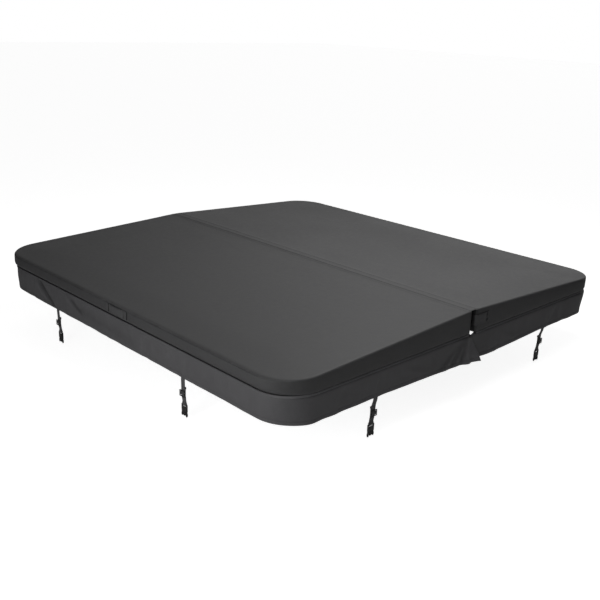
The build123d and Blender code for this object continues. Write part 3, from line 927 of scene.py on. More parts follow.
# ------------------------------------------------------------------ sheets that follow the outline
def skirt_path(inset, x_end, step=0.012, flip=1):
    """Plan line at an inset, from the front end at the fold round the outer side to the back end: points, normals, arc."""
    pts, nrm = [], []
    ci, r = H - R, R - inset
    n = int((ci - x_end) / step)
    for t in np.arange(n) / n:
        pts.append((-x_end - (ci - x_end) * t, -(H - inset))); nrm.append((0, -1))
    na = int(r * math.pi / 2 / (step * 0.8))
    for a in np.arange(na) / na * math.pi / 2:
        pts.append((-ci - r * math.sin(a), -ci - r * math.cos(a))); nrm.append((-math.sin(a), -math.cos(a)))
    n2 = int(2 * ci / step)
    for t in np.arange(n2) / n2:
        pts.append((-(H - inset), -ci + 2 * ci * t)); nrm.append((-1, 0))
    for a in np.arange(na) / na * math.pi / 2:
        pts.append((-ci - r * math.cos(a), ci + r * math.sin(a))); nrm.append((-math.cos(a), math.sin(a)))
    for t in np.arange(n + 1) / n:
        pts.append((-ci + (ci - x_end) * t, H - inset)); nrm.append((0, 1))
    pts, nrm = np.array(pts), np.array(nrm)
    s = np.concatenate([[0], np.cumsum(np.linalg.norm(np.diff(pts, axis=0), axis=1))])
    return pts, nrm, s


def gauss(x, c, w):
    return np.exp(-((x - c) / w) ** 2)


# ------------------------------------------------------------------ skirts
STRAPS = {}
for j in frame["joints"]:
    if j["name"].startswith("strap_"):
        STRAPS[int(j["name"].split("_")[1])] = ((-round(j["axis"][1]), round(j["axis"][0])), (j["pos_m"][0], j["pos_m"][1]))
DROP = -HEM_Z
HEM_ROWS = [0.0, 0.0025, 0.007, 0.013, 0.020, 0.028, 0.036, 0.045, 0.054, 0.063, 0.072, 0.081, 0.089, 0.096, 0.1005, 0.1025, 0.1045, 0.109, 0.1135, 0.1162]


def flap_end(depth):
    """Where the near skirt's slanted free edge is, past the fold line, at a depth under the band."""
    return np.interp(depth, [0.0, 0.003, 0.010, 0.020, 0.1162], [-0.010, -0.003, 0.008, 0.012, 0.047])


def far_edge(depth):
    """Where the far skirt starts: its top corner is cut off on a slant."""
    return np.interp(depth, [0.0, 0.0045, 0.0075, 0.013, 0.12], [0.036, 0.032, 0.008, -0.010, -0.014])


def lap_flare(x, t):
    """How far the far skirt stands out near the fold, where the near flap lies over it."""
    near = 0.0010 + 0.0120 * smooth(0.02, 0.11, x)
    away = 0.0060
    k = smooth(0.14, 0.60, x)
    return (near * (1 - k) + away * k) * t ** 1.15


def skirt_shape(side, base, nrm, s, depth, seed):
    """Outward stand-off of the skirt at plan points and depths (same shape arrays)."""
    x = base[..., 0] * (1 if side < 0 else -1)
    q = np.stack([s * 3.2, depth * 9.0, np.full(s.shape, seed * 0.7)], -1).reshape(-1, 3)
    soft = vnoise(q, seed).reshape(s.shape)
    q2 = np.stack([s * 9.5, depth * 14.0 + s * 4.0, np.full(s.shape, seed * 1.1)], -1).reshape(-1, 3)
    mid = vnoise(q2, seed + 1).reshape(s.shape)
    q3 = np.stack([s * 30.0, depth * 10.0, np.full(s.shape, seed * 1.9)], -1).reshape(-1, 3)
    fine = vnoise(q3, seed + 2).reshape(s.shape)
    t = np.clip(depth / DROP, 0, 1.1)
    front = nrm[..., 1] ** 2
    ax = np.abs(base[..., 0])
    corner = 4 * nrm[..., 0] ** 2 * nrm[..., 1] ** 2
    free = (0.0022 + 0.0065 * (1 - smooth(0.20, 0.75, ax))) * t ** 1.15
    if side > 0:
        free = np.where(base[..., 0] > 0, lap_flare(base[..., 0], t), free)
    # the long outer side bellies high up and its hem turns a little inward
    side_out = 0.0034 * np.sin(np.pi * np.clip(t, 0, 1) ** 0.75) - 0.0022 * t ** 2
    out = front * free + (1 - front) * side_out - 0.0022 * corner * t
    amp = np.where(front > 0.5, 0.0024, 0.0019)
    out += (amp * soft + 0.0013 * mid) * t ** 0.8
    out += 0.0005 * fine * (1 - np.clip(t, 0, 1)) * smooth(0.0, 0.012, depth)   # gathers under the seam
    return out


def crease(y, depth, a, b, width, height):
    """A soft ridge or valley along the line a-b in (along, depth) space."""
    a, b = np.array(a, float), np.array(b, float)
    L = np.linalg.norm(b - a)
    u = (b - a) / L
    px, pz = y - a[0], depth - a[1]
    along = px * u[0] + pz * u[1]
    off = px * -u[1] + pz * u[0]
    fade = smooth(-0.02, 0.03, along) * (1 - smooth(L - 0.02, L + 0.04, along))
    return height * np.exp(-(off / width) ** 2) * fade


def corner_near(base, sx, sy):
    """1 round one plan corner, fading along both sides."""
    c = H - R * 0.35
    return np.exp(-(np.hypot(base[..., 0] - sx * c, base[..., 1] - sy * c) / 0.20) ** 4)


def build_skirt(side):
    tag, body = SIDE[side], BODY[side]
    seed = 71 if side < 0 else 93
    x_end = 0.020 if side < 0 else 0.075
    pts, nrm, s = skirt_path(SK_IN, x_end, 0.0125)
    if side > 0:
        pts = pts * np.array([-1, 1])
        nrm = nrm * np.array([-1, 1])
    rows = np.array(HEM_ROWS)
    n, m = len(pts), len(rows)
    k = 12
    xs = []
    for dz in rows:
        tip = float(flap_end(dz)) if side < 0 else float(far_edge(dz))
        start = side * x_end
        xs.append(start + (tip - start) * (np.arange(k) + 1) / k)
    xs = np.array(xs)
    base = np.repeat(pts[None], m, 0)
    nn = np.repeat(nrm[None], m, 0)
    S = np.repeat(s[None], m, 0)
    front = np.stack([xs[:, ::-1], np.full(xs.shape, -(H - SK_IN))], -1)
    back = np.stack([xs, np.full(xs.shape, H - SK_IN)], -1)
    base = np.concatenate([front, base, back], 1)
    nn = np.concatenate([np.tile([0.0, -1.0], (m, k, 1)), nn, np.tile([0.0, 1.0], (m, k, 1))], 1)
    S = np.concatenate([s[0] - np.abs(front[..., 0] - side * x_end), S, s[-1] + np.abs(back[..., 0] - side * x_end)], 1)
    depth = np.repeat(rows[:, None], base.shape[1], 1)
    x, y = base[..., 0], base[..., 1]
    facing = nn[..., 1] ** 2
    if side < 0:
        # the lap hangs lower towards its tip
        depth = depth + 0.0055 * smooth(-0.16, 0.05, x) * (depth / DROP) ** 2
    depth = depth + facing * (-0.0012 + 0.0046 * (1 - smooth(0.15, 0.60, np.abs(x)))) * (depth / DROP) ** 1.5
    out = skirt_shape(side, base, nn, S, depth, seed)
    # the seam edge is tucked in under the band; on the two ends the skirt hangs flush with its binding
    out -= 0.0044 * (1 - smooth(0.0, 0.0085, depth))
    out += 0.0075 * facing * smooth(0.002, 0.012, depth)
    painted_shading_map = np.zeros_like(depth)
    outer = np.where(np.abs(nn[..., 0]) > 0.7, 1.0, 0.0)
    onfront = np.where(nn[..., 1] < -0.7, 1.0, 0.0)
    onback = np.where(nn[..., 1] > 0.7, 1.0, 0.0)
    if side < 0:
        # diagonal creases on the outer face, running down to the strap, with painted shade in their valleys
        for a, b, w, hgt, dark in (((0.706, 0.016), (0.560, 0.112), 0.0105, -0.0078, 0.95), ((0.742, 0.020), (0.596, 0.116), 0.016, 0.0060, 0),
                                   ((0.412, 0.030), (0.322, 0.066), 0.0110, -0.0066, 0.85), ((0.452, 0.024), (0.328, 0.068), 0.013, 0.0042, 0),
                                   ((0.330, 0.062), (-0.10, 0.078), 0.0230, -0.0030, 0.30)):
            out += outer * crease(y, depth, a, b, w, hgt) * (1 - 0.85 * smooth(0.088, 0.114, depth))
            painted_shading_map += outer * crease(y, depth, a, b, w, dark)
        out += outer * crease(y, depth, (0.270, 0.064), (-0.62, 0.072), 0.017, -0.0022)
        out += outer * crease(y, depth, (-0.30, 0.030), (-0.50, 0.110), 0.013, 0.0026)
        out += outer * crease(y, depth, (-0.70, 0.046), (-0.86, 0.088), 0.012, -0.0028)
        out += onfront * crease(x, depth, (-0.78, 0.030), (-0.60, 0.100), 0.013, -0.0028)
        out += onfront * crease(x, depth, (-0.44, 0.042), (-0.30, 0.096), 0.014, 0.0030)
        out += onback * crease(x, depth, (-0.70, 0.036), (-0.56, 0.108), 0.013, 0.0030)
        out += onback * crease(x, depth, (-0.34, 0.036), (-0.46, 0.100), 0.012, -0.0028)
        # folds fanning out of the top of the lap, with painted shade in their valleys
        fan = onfront + onback
        for hem_x, w, hgt in ((-0.064, 0.0095, -0.0062), (-0.104, 0.0110, 0.0048), (-0.150, 0.0110, -0.0044), (-0.188, 0.0120, 0.0032), (-0.232, 0.0130, -0.0028)):
            f = fan * crease(x, depth, (-0.030, 0.004), (hem_x, 0.122), w, hgt) * smooth(0.006, 0.045, depth) * (1 - 0.65 * smooth(0.085, 0.118, depth))
            out += f
            painted_shading_map += np.clip(-f / 0.006, 0, 1) * 0.5
        # over the far skirt and out
        fl = lap_flare(x, np.clip(depth / DROP, 0, 1.1))
        over = smooth(-0.030, 0.0, x)
        out = out * (1 - over) + np.minimum(out, fl) * over * 0 + fl * over + out * 0
        lap = smooth(-0.080, -0.024, x) * smooth(0.007, 0.022, depth)
        out += 0.0064 * lap
        # past the last fold the free corner swings outward, almost flat
        hinge_x = -0.020 - 0.044 * depth / DROP
        swing = np.clip((x - hinge_x) / 0.110, 0, 1.2)
        out += 0.0290 * swing * smooth(0.01, 0.10, depth) * (onfront + onback)
        # painted highlight at the exposed corner of the lap: a lighter tone set to fit, standing in for light falling
        # on the flap
        painted_shading_map -= 0.60 * smooth(0.0, 0.16, swing) * smooth(0.012, 0.030, depth) * (onfront + onback)
    else:
        under = (1 - smooth(0.085, 0.16, x)) * (onfront + onback)
        fl = lap_flare(x, np.clip(depth / DROP, 0, 1.1))
        out = out * (1 - under) + (fl + 0.0060 * smooth(0.002, 0.012, depth)) * under
        # the lap's own shade on the skirt behind it
        painted_shading_map += (onfront + onback) * (1 - smooth(0.0, 0.016, x - (-0.004 + 0.052 * np.clip(depth / DROP, 0, 1.1)))) * smooth(0.004, 0.016, depth) * 0.8
        # the far front corner leans in towards its hem, its top flush with the band
        lean = corner_near(base, 1, -1)
        out += lean * (0.0075 * (1 - smooth(0.0, 0.110, depth)) * smooth(0.0, 0.010, depth) - 0.0070 * np.clip(depth / DROP, 0, 1))
        out += onfront * crease(x, depth, (0.20, 0.040), (0.34, 0.100), 0.014, 0.0028)
        out += onfront * crease(x, depth, (0.150, 0.030), (0.120, 0.116), 0.013, 0.0018)
        out += onfront * crease(x, depth, (0.70, 0.030), (0.62, 0.108), 0.012, -0.0028)
        out += outer * crease(y, depth, (0.70, 0.025), (0.57, 0.112), 0.012, -0.0036)
        out += outer * crease(y, depth, (-0.28, 0.040), (-0.43, 0.110), 0.013, 0.0030)
        out += onback * crease(x, depth, (0.72, 0.030), (0.61, 0.112), 0.013, -0.0032)
        out += onback * crease(x, depth, (0.32, 0.044), (0.46, 0.100), 0.013, 0.0026)
    for i, (sn, at) in STRAPS.items():
        # the webbing behind the skirt presses it out a little
        if (at[0] < 0) != (side < 0):
            continue
        near = np.hypot(x - (at[0] + sn[0] * 0.003), y - (at[1] + sn[1] * 0.003))
        out += 0.0010 * np.exp(-(near / 0.020) ** 4) * smooth(0.01, 0.04, depth)
    # hem: turned under and stitched, a little fuller below the stitch line
    hem = smooth(0.0985, 0.1035, rows)[:, None]
    out += 0.0005 * hem - 0.0010 * np.exp(-((rows - 0.1015) / 0.0016) ** 2)[:, None]
    q = np.stack([S * 60.0, np.zeros(S.shape), np.full(S.shape, seed * 1.3)], -1).reshape(-1, 3)
    out += 0.00035 * vnoise(q, seed + 9).reshape(S.shape) * hem
    z = -0.0012 - depth
    # the hem line wavers by a millimetre or so
    q = np.stack([S * 4.0, np.zeros(S.shape), np.full(S.shape, seed * 1.7)], -1).reshape(-1, 3)
    z += 0.0012 * vnoise(q, seed + 10).reshape(S.shape) * (depth / DROP)
    P = np.concatenate([base + nn * out[..., None], z[..., None]], -1)
    cols = P.shape[1]
    V = P.reshape(-1, 3)
    F = grid_quads(m, cols, flip=(side < 0))
    uv = np.stack([S, -depth], -1).reshape(-1, 2)
    o = new_obj(f"{tag}_skirt_drape", V, F, uv=uv)
    # the painted shade in the crease valleys and under the lap, and the painted highlight on the flap, go to the vinyl
    # per point
    set_painted_shading(o, 0.8 * painted_shading_map.reshape(-1))
    outward(o, (side * 0.53, 0, -0.05))
    # hang the cloth: its seam is held, the lap is held where it is sewn over, the rest settles under its own weight
    w = 1 - smooth(0.004, 0.060, depth)
    w = np.maximum(w, 1 - smooth(0.10, 0.22, np.abs(x)) * 1.0)
    moved = simulate(o, w.ravel(), frames=16, gravity=0.6, mass=0.45, tension=20, bend=6.0, shrink=-0.004, cap=0.0045)
    P = moved.reshape(P.shape)
    return o, P, nn, S


def smooth_obj(o, levels=1):
    return subdivide(o, levels)


SKIRT_LINES = {}
for side in (-1, 1):
    tag, body = SIDE[side], BODY[side]
    o, P, nn, S = build_skirt(side)
    SKIRT_LINES[side] = (P, nn, S)
    subdivide(o, 1)
    solidify(o, 0.0022, offset=-1.0)
    set_mat(o, SKIRT)
    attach(o, body)
    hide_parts(f"{tag}_skirt")
    rows = np.array(HEM_ROWS)
    lines = []
    for want in (0.1025,):
        r = int(np.argmin(np.abs(rows - want)))
        n3 = np.concatenate([nn[r], np.zeros((nn.shape[1], 1))], 1)
        lines.append((P[r] + n3 * 0.0003, n3))
    if side < 0:
        # turned edge of the two slanted ends
        for c0, sgn in ((1, 1), (-2, 1)):
            n3 = np.concatenate([nn[:, c0], np.zeros((len(rows), 1))], 1)
            lines.append((P[1:-1, c0] + n3[1:-1] * 0.0003, n3[1:-1]))
    st = stitch_rows(f"{tag}_skirt_stitches", lines)
    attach(st, body)

# ------------------------------------------------------------------ bound header between band and skirt
def sweep(name, path, nrm, section, s, wobble=None, closed_section=True, up=(0, 0, 1)):
    """Section points (out, up) carried along a plan path; ends capped."""
    m = len(section)
    sec = np.asarray(section, float)
    V = []
    for i in range(len(path)):
        o = np.array([nrm[i][0], nrm[i][1], 0.0])
        w = np.zeros((m, 2)) if wobble is None else wobble(i, s[i], sec)
        for k in range(m):
            V.append(np.array([path[i][0], path[i][1], 0.0]) + o * (sec[k, 0] + w[k, 0]) + np.array(up) * (sec[k, 1] + w[k, 1]))
    F = grid_quads(len(path), m, closed=True)
    F.append(tuple(range(m))[::-1])
    F.append(tuple(range((len(path) - 1) * m, len(path) * m)))
    o = new_obj(name, np.array(V), F)
    bm = bmesh.new(); bm.from_mesh(o.data)
    bmesh.ops.recalc_face_normals(bm, faces=bm.faces)
    bm.to_mesh(o.data); bm.free()
    return o


def rounded_box(w, h, r, k=3):
    """Section of a rounded rectangle, w out by h up, centred on its own middle."""
    pts = []
    for cx, cy, a0 in ((w / 2 - r, h / 2 - r, 0), (-w / 2 + r, h / 2 - r, 90), (-w / 2 + r, -h / 2 + r, 180), (w / 2 - r, -h / 2 + r, 270)):
        for j in range(k + 1):
            a = math.radians(a0 + 90 * j / k)
            pts.append((cx + r * math.cos(a), cy + r * math.sin(a)))
    return pts


for side in (-1, 1):
    tag, body = SIDE[side], BODY[side]
    seed = 130 + side
    inset = 0.0096
    x_end = 0.018 if side < 0 else 0.034
    pts, nrm, s = skirt_path(inset, x_end, 0.016)
    if side > 0:
        pts, nrm = pts * np.array([-1, 1]), nrm * np.array([-1, 1])
    sec = [(a, b - 0.0090) for a, b in rounded_box(0.0034, 0.0092, 0.0014)]
    wob1 = vnoise(np.c_[s * 9, np.zeros(len(s)), np.full(len(s), 2.2)], seed)
    wob2 = vnoise(np.c_[s * 31, np.zeros(len(s)), np.full(len(s), 5.2)], seed + 1)
    wob3 = vnoise(np.c_[s * 6, np.zeros(len(s)), np.full(len(s), 7.2)], seed + 2)

    def wob(i, si, sec):
        w = np.zeros((len(sec), 2))
        low = (sec[:, 1] < -0.008)
        w[:, 0] += 0.0003 * wob1[i] + 0.00022 * wob2[i] + np.where(low, 0.0007 * wob3[i], 0)
        w[:, 1] += np.where(low, 0.0005 * wob1[i], 0)
        end = nrm[i][1] ** 2
        w[:, 0] -= end * (sec[:, 1] + 0.0090) * 0.62        # sewn on a slant across the two ends
        w[:, 0] += end * 0.0046
        w[:, 1] += end * 0.0050 - (1 - end) * 0.0014
        return w
    o = sweep(f"{tag}_header_binding", pts, nrm, sec, s, wob)
    # painted highlight on the two ends of the binding, standing in for light from above catching its top
    set_painted_shading(o, np.repeat(-0.62 * nrm[:, 1] ** 2, len(sec)))       # painted lighter on the two ends: a tone set to fit
    set_mat(o, SKIRT)
    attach(o, body)
    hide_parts(f"{tag}_welt")
    n3 = np.c_[nrm, np.zeros(len(nrm))]
    line = np.c_[pts + nrm * (0.0017 + 0.0003 * wob1[:, None] + 0.00022 * wob2[:, None] + 0.00015), np.full(len(pts), -0.0102)]
    st = stitch_rows(f"{tag}_header_stitches", [(line, n3)])
    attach(st, body)

# ------------------------------------------------------------------ underside liner with a turned seam
for side in (-1, 1):
    tag, body = SIDE[side], BODY[side]
    seed = 150 + side
    inset, x0 = 0.0172, 0.0525
    nx, ny, nc = 56, 110, 10
    ci, r = H - R, R - inset
    # rectangular grid warped to the rounded outline
    u = np.concatenate([[0, 0.004, 0.010, 0.018], np.linspace(0.03, 1, nx)])
    xs = H - inset - (H - inset - x0) * u
    yy = np.concatenate([[0, 0.002, 0.005, 0.009], np.linspace(0.015, 0.985, ny), [0.991, 0.995, 0.998, 1.0]])
    ys = -(H - inset) + 2 * (H - inset) * yy
    X, Y = np.meshgrid(xs, ys, indexing="ij")
    # pull the corner region onto the arc
    ax, ay = np.abs(X) - ci, np.abs(Y) - ci
    inc = (ax > 0) & (ay > 0)
    big = np.maximum(ax, ay)
    hyp = np.hypot(ax, ay) + 1e-12
    k = np.where(inc, big / hyp, 1.0)
    X2 = np.where(inc, ci + ax * k, X)
    Y2 = np.where(inc, np.sign(Y) * (ci + ay * k), Y)
    flat = np.c_[X2.ravel(), Y2.ravel()]
    d = inset_of(flat) - inset
    fold = flat[:, 0] - x0
    q = np.c_[flat * 1.0, np.full(len(flat), 0.5)]
    z = 0.0004 + 0.0004 * smooth(0.012, 0.004, d)
    wr = fbm(q * np.array([1.0, 2.6, 1]), 2.6, 3, seed)
    ridge = 1 - np.abs(fbm(q * np.array([2.2, 1.0, 1]), 2.2, 2, seed + 5))
    z = z - 0.0009 * smooth(0.01, 0.05, d) * smooth(0.0, 0.04, fold) * (0.5 + 0.5 * wr) - 0.0011 * np.clip(ridge - 0.80, 0, 1) / 0.2 * smooth(0.02, 0.08, d) * smooth(0.0, 0.05, fold)
    # seam allowance stands a hair proud round the edge
    z = z - 0.0006 * (1 - smooth(0.008, 0.0105, d)) - 0.0006 * (1 - smooth(0.008, 0.0105, fold))
    V = np.c_[flat[:, 0] * side, flat[:, 1], z]
    F = grid_quads(len(xs), len(ys), flip=(side > 0))
    o = new_obj(f"{tag}_liner_sheet", V, F)
    outward(o, (side * 0.53, 0, 0.05))
    solidify(o, 0.0005)
    set_mat(o, LINER)
    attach(o, body)
    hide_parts(f"{tag}_underside_liner")
    pts, nrm, s = skirt_path(inset + 0.006, x0 + 0.006, 0.02)
    if side > 0:
        pts = pts * np.array([-1, 1])
    down = np.tile([0.0, 0.0, -1.0], (len(pts), 1))
    a = np.c_[pts, np.full(len(pts), -0.0011)]
    yb = np.linspace(-(H - inset - 0.006), H - inset - 0.006, 80)
    b = np.c_[np.full(80, side * (x0 + 0.006)), yb, np.full(80, -0.0011)]
    st = stitch_rows(f"{tag}_liner_stitches", [(a, down), (b, np.tile([0.0, 0.0, -1.0], (80, 1)))], pitch=0.0065, gap=0.002)
    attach(st, body)

# ------------------------------------------------------------------ hinge strip, one cloth across the fold
def build_hinge():
    xs = [0, 3, 6, 9, 11.5, 13.4, 14.8, 15.7, 16.3, 16.9, 17.5, 18.1, 18.7, 19.4, 20.6, 22.5, 26, 31, 35.4, 37.2, 38.0]
    hs = [0.90, 0.92, 0.95, 0.99, 1.02, 1.03, 0.99, 0.80, 0.46, 0.12, -0.06, 0.10, 0.42, 0.70, 0.84, 0.82, 0.70, 0.56, 0.46, 0.36, 0.16]
    X = np.array([-x for x in xs[:0:-1]] + xs) * MM
    Hh = np.array(hs[:0:-1] + hs) * MM
    ny = 300
    ye = 1.0470
    Y = np.linspace(-ye, ye, ny)
    Y = np.sign(Y) * (np.abs(Y) - 0.0)
    gx, gy = np.meshgrid(X, Y, indexing="ij")
    z = T_FOLD - np.maximum(np.abs(gx) - G, 0) * FALL + Hh[:, None]
    ends = 0.5 + 1.2 * smooth(0.7, 1.0, np.abs(gy))
    q = np.c_[gx.ravel() * 18, gy.ravel() * 24, np.full(gx.size, 1.5)]
    pk = vnoise(q, 201).reshape(gx.shape)
    q = np.c_[gx.ravel() * 7, gy.ravel() * 4, np.full(gx.size, 3.5)]
    pk2 = vnoise(q, 202).reshape(gx.shape)
    span = 1 - smooth(0.0135, 0.016, np.abs(gx))
    z += (0.00012 * pk + 0.00012 * pk2) * ends * np.where(np.abs(gx) < 0.0135, 1.0, 0.55) - 0.0003 * span * (1 + pk2)
    # the far-side seam is pulled less deep than the near one
    z += 0.0002 * gauss(gx, 0.0175, 0.0012) - 0.0002 * gauss(gx, -0.0175, 0.0012)
    z = np.minimum(z, Z_STRIP)
    # both ends roll over the edge
    z -= 0.0012 * smooth(1.0435, 1.0470, np.abs(gy)) ** 2
    gx2 = gx + 0.00035 * np.where(np.abs(gx) > 0.016, vnoise(np.c_[gy.ravel() * 3, np.zeros(gx.size), np.full(gx.size, .5)], 203).reshape(gx.shape), 0)
    V = np.stack([gx2, gy, z], -1).reshape(-1, 3)
    F = grid_quads(len(X), ny)
    o = new_obj("fold_hinge_strip", V, F)
    outward(o, (0, 0, 0))
    solidify(o, 0.0009)
    set_mat(o, TOP)
    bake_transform(o)
    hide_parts("near_hinge_strip", "far_hinge_strip")
    for side in (-1, 1):
        rows = []
        for x in (0.0212,):
            yy = np.linspace(-1.043, 1.043, 200)
            zz = T_FOLD - (x - G) * FALL + 0.00100
            rows.append((np.c_[np.full(200, side * x), yy, np.full(200, zz)], np.tile([0.0, 0.0, 1.0], (200, 1))))
        st = stitch_rows(f"{SIDE[side]}_hinge_stitches", rows, pitch=0.0050)
        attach(st, BODY[side])


build_hinge()

# ------------------------------------------------------------------ steam seal: a stuffed sleeve along the far wall
def build_seal():
    blo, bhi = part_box("steam_seal")
    cx, cz = (blo.x + bhi.x) / 2, (blo.z + bhi.z) / 2
    hw, hh = (bhi.x - blo.x) / 2, (bhi.z - blo.z) / 2
    ny, na = 240, 36
    Y = np.linspace(blo.y, bhi.y, ny)
    V = []
    n1 = vnoise(np.c_[Y * 4.0, np.zeros(ny), np.zeros(ny)], 301)
    for i, y in enumerate(Y):
        e = max(0.0, 1 - (bhi.y - abs(y)) / 0.018)
        sc = 0.30 + 0.70 * math.sqrt(max(0.0, 1 - e * e))
        for k in range(na):
            a = 2 * math.pi * k / na
            ca, sa = math.cos(a), math.sin(a)
            px = math.copysign(abs(ca) ** 0.75, ca)
            pz = math.copysign(abs(sa) ** 0.62, sa)
            w = 0.93 + 0.06 * n1[i] + 0.012 * vnoise(np.array([[y * 22, a * 1.5, 2.0]]), 302)[0]
            if px > 0:
                w = 0.99
            V.append((cx + hw * px * w * (0.55 + 0.45 * sc), y, cz + hh * pz * min(w + 0.03, 1) * sc))
    F = grid_quads(ny, na, closed=True)
    F.append(tuple(range(na))[::-1])
    F.append(tuple(range((ny - 1) * na, ny * na)))
    o = new_obj("steam_seal_roll", V, F)
    bm = bmesh.new(); bm.from_mesh(o.data)
    bmesh.ops.recalc_face_normals(bm, faces=bm.faces)
    bm.to_mesh(o.data); bm.free()
    set_mat(o, SEAL)
    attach(o, "far_panel")
    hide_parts("steam_seal")


build_seal()

# ------------------------------------------------------------------ handles: folded vinyl, sewn down at both ends, slack between
def box_stitch(centre, right, up, out, w, h, lift):
    c, r, u, o = (np.array(v, float) for v in (centre, right, up, out))
    corners = [c + r * a * w / 2 + u * b * h / 2 + o * lift for a, b in ((-1, -1), (1, -1), (1, 1), (-1, 1))]
    lines = []
    for a, b in ((0, 1), (1, 2), (2, 3), (3, 0), (0, 2), (1, 3)):
        t = np.linspace(0, 1, 12)[:, None]
        lines.append((corners[a] * (1 - t) + corners[b] * t, np.tile(o, (12, 1))))
    return lines


def strap_sheet(name, frame_at, u_of, n_along, width, zc, side_body, seed, node, mat, shift=None, thick=0.0024):
    """A flat fabric strap given by a centre line: frame_at(t) -> (point, outward normal), across the width in Z."""
    rows = 21
    V, S = [], []
    T = np.linspace(0, 1, n_along)
    for t in T:
        p, nrm = frame_at(t)
        for k in range(rows):
            w = -1 + 2 * k / (rows - 1)
            off, dz = u_of(t, w)
            V.append(np.array(p) + np.array(nrm) * off + np.array([0, 0, zc + w * width / 2 + dz]))
    F = grid_quads(n_along, rows)
    o = new_obj(name, np.array(V), F)
    return o


def outer_handle(side):
    tag, body = SIDE[side], BODY[side]
    node = f"{tag}_handle"
    blo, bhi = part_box(node)
    zc, width, L = (blo.z + bhi.z) / 2, (bhi.z - blo.z) - 0.002, (bhi.y - blo.y)
    seed = 401 if side < 0 else 431
    y0, y1 = -L / 2 + 0.0005, L / 2 - 0.0005

    def frame_at(t):
        return (side * H, y0 + (y1 - y0) * t, 0.0), (side, 0, 0)

    def u_of(t, w):
        y = (y0 + (y1 - y0) * t) * 1000
        slack = float(smooth(-60, -36, y) * (1 - smooth(36, 60, y))) * 0.72
        n = vnoise(np.array([[y * 0.11, w * 1.3, 1.0], [y * 0.03, w * 0.8, 4.0]]), seed)
        u = 0.0034 + 0.0034 * slack - 0.0018 * slack * max(w, 0.0) ** 3 + (0.0004 * n[0] + 0.0006 * n[1]) * (0.5 + slack)
        # puckers where the box stitch grips
        grip = math.exp(-((abs(y) - 57) / 3.2) ** 2)
        u -= (0.0025 if y > 0 else 0.0013) * grip
        u += 0.0004 * math.exp(-((abs(y) - 66) / 4.0) ** 2)
        u -= 0.0010 * slack * (1 - w * w) * 0.5        # the strap is a little hollow between its folded edges
        dz = 0.0009 * slack * float(vnoise(np.array([[y * 0.02, 0.0, 9.0]]), seed)[0]) + (-0.0014 * slack if w > 0 else 0.0006 * slack) * abs(w)
        dz -= 0.0007 * grip * w
        return u, dz
    o = strap_sheet(f"{tag}_handle_strap", frame_at, u_of, 64, width, zc, body, seed, node, HANDLE)
    # painted shade at the puckers where the box stitch grips
    shade = []
    for k in range(64):
        y = (y0 + (y1 - y0) * k / 63) * 1000
        shade += [math.exp(-((abs(y) - 57) / 4.4) ** 2) * (1.7 if y > 0 else 0.4)] * 21
    set_painted_shading(o, shade)
    outward(o, (side * 0.9, 0, 0.03))
    subdivide(o, 1)
    solidify(o, 0.0024)
    m = o.modifiers.new("round", "BEVEL")
    m.width = 0.0006
    m.segments = 2
    m.limit_method = "ANGLE"
    m.angle_limit = math.radians(60)
    apply_mods(o)
    set_mat(o, HANDLE)
    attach(o, body)
    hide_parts(node)
    lines = []
    for c in (-1, 1):
        lines += box_stitch((side * (H + 0.0036), c * 0.0675, zc), (0, 1, 0), (0, 0, 1), (side, 0, 0), 0.018, 0.032, 0.0)
    for w in (-0.84, 0.84):
        t = np.linspace(0.17, 0.83, 60)
        pts = []
        for tt in t:
            p, nrm = frame_at(tt)
            u, dz = u_of(tt, w)
            pts.append((p[0] + nrm[0] * (u + 0.00012), p[1], zc + w * width / 2 + dz))
        lines.append((np.array(pts), np.tile([side, 0.0, 0.0], (60, 1))))
    st = stitch_rows(f"{tag}_handle_stitches", lines, pitch=0.0045, gap=0.0012, radius=0.0004)
    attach(st, body)


for side in (-1, 1):
    outer_handle(side)


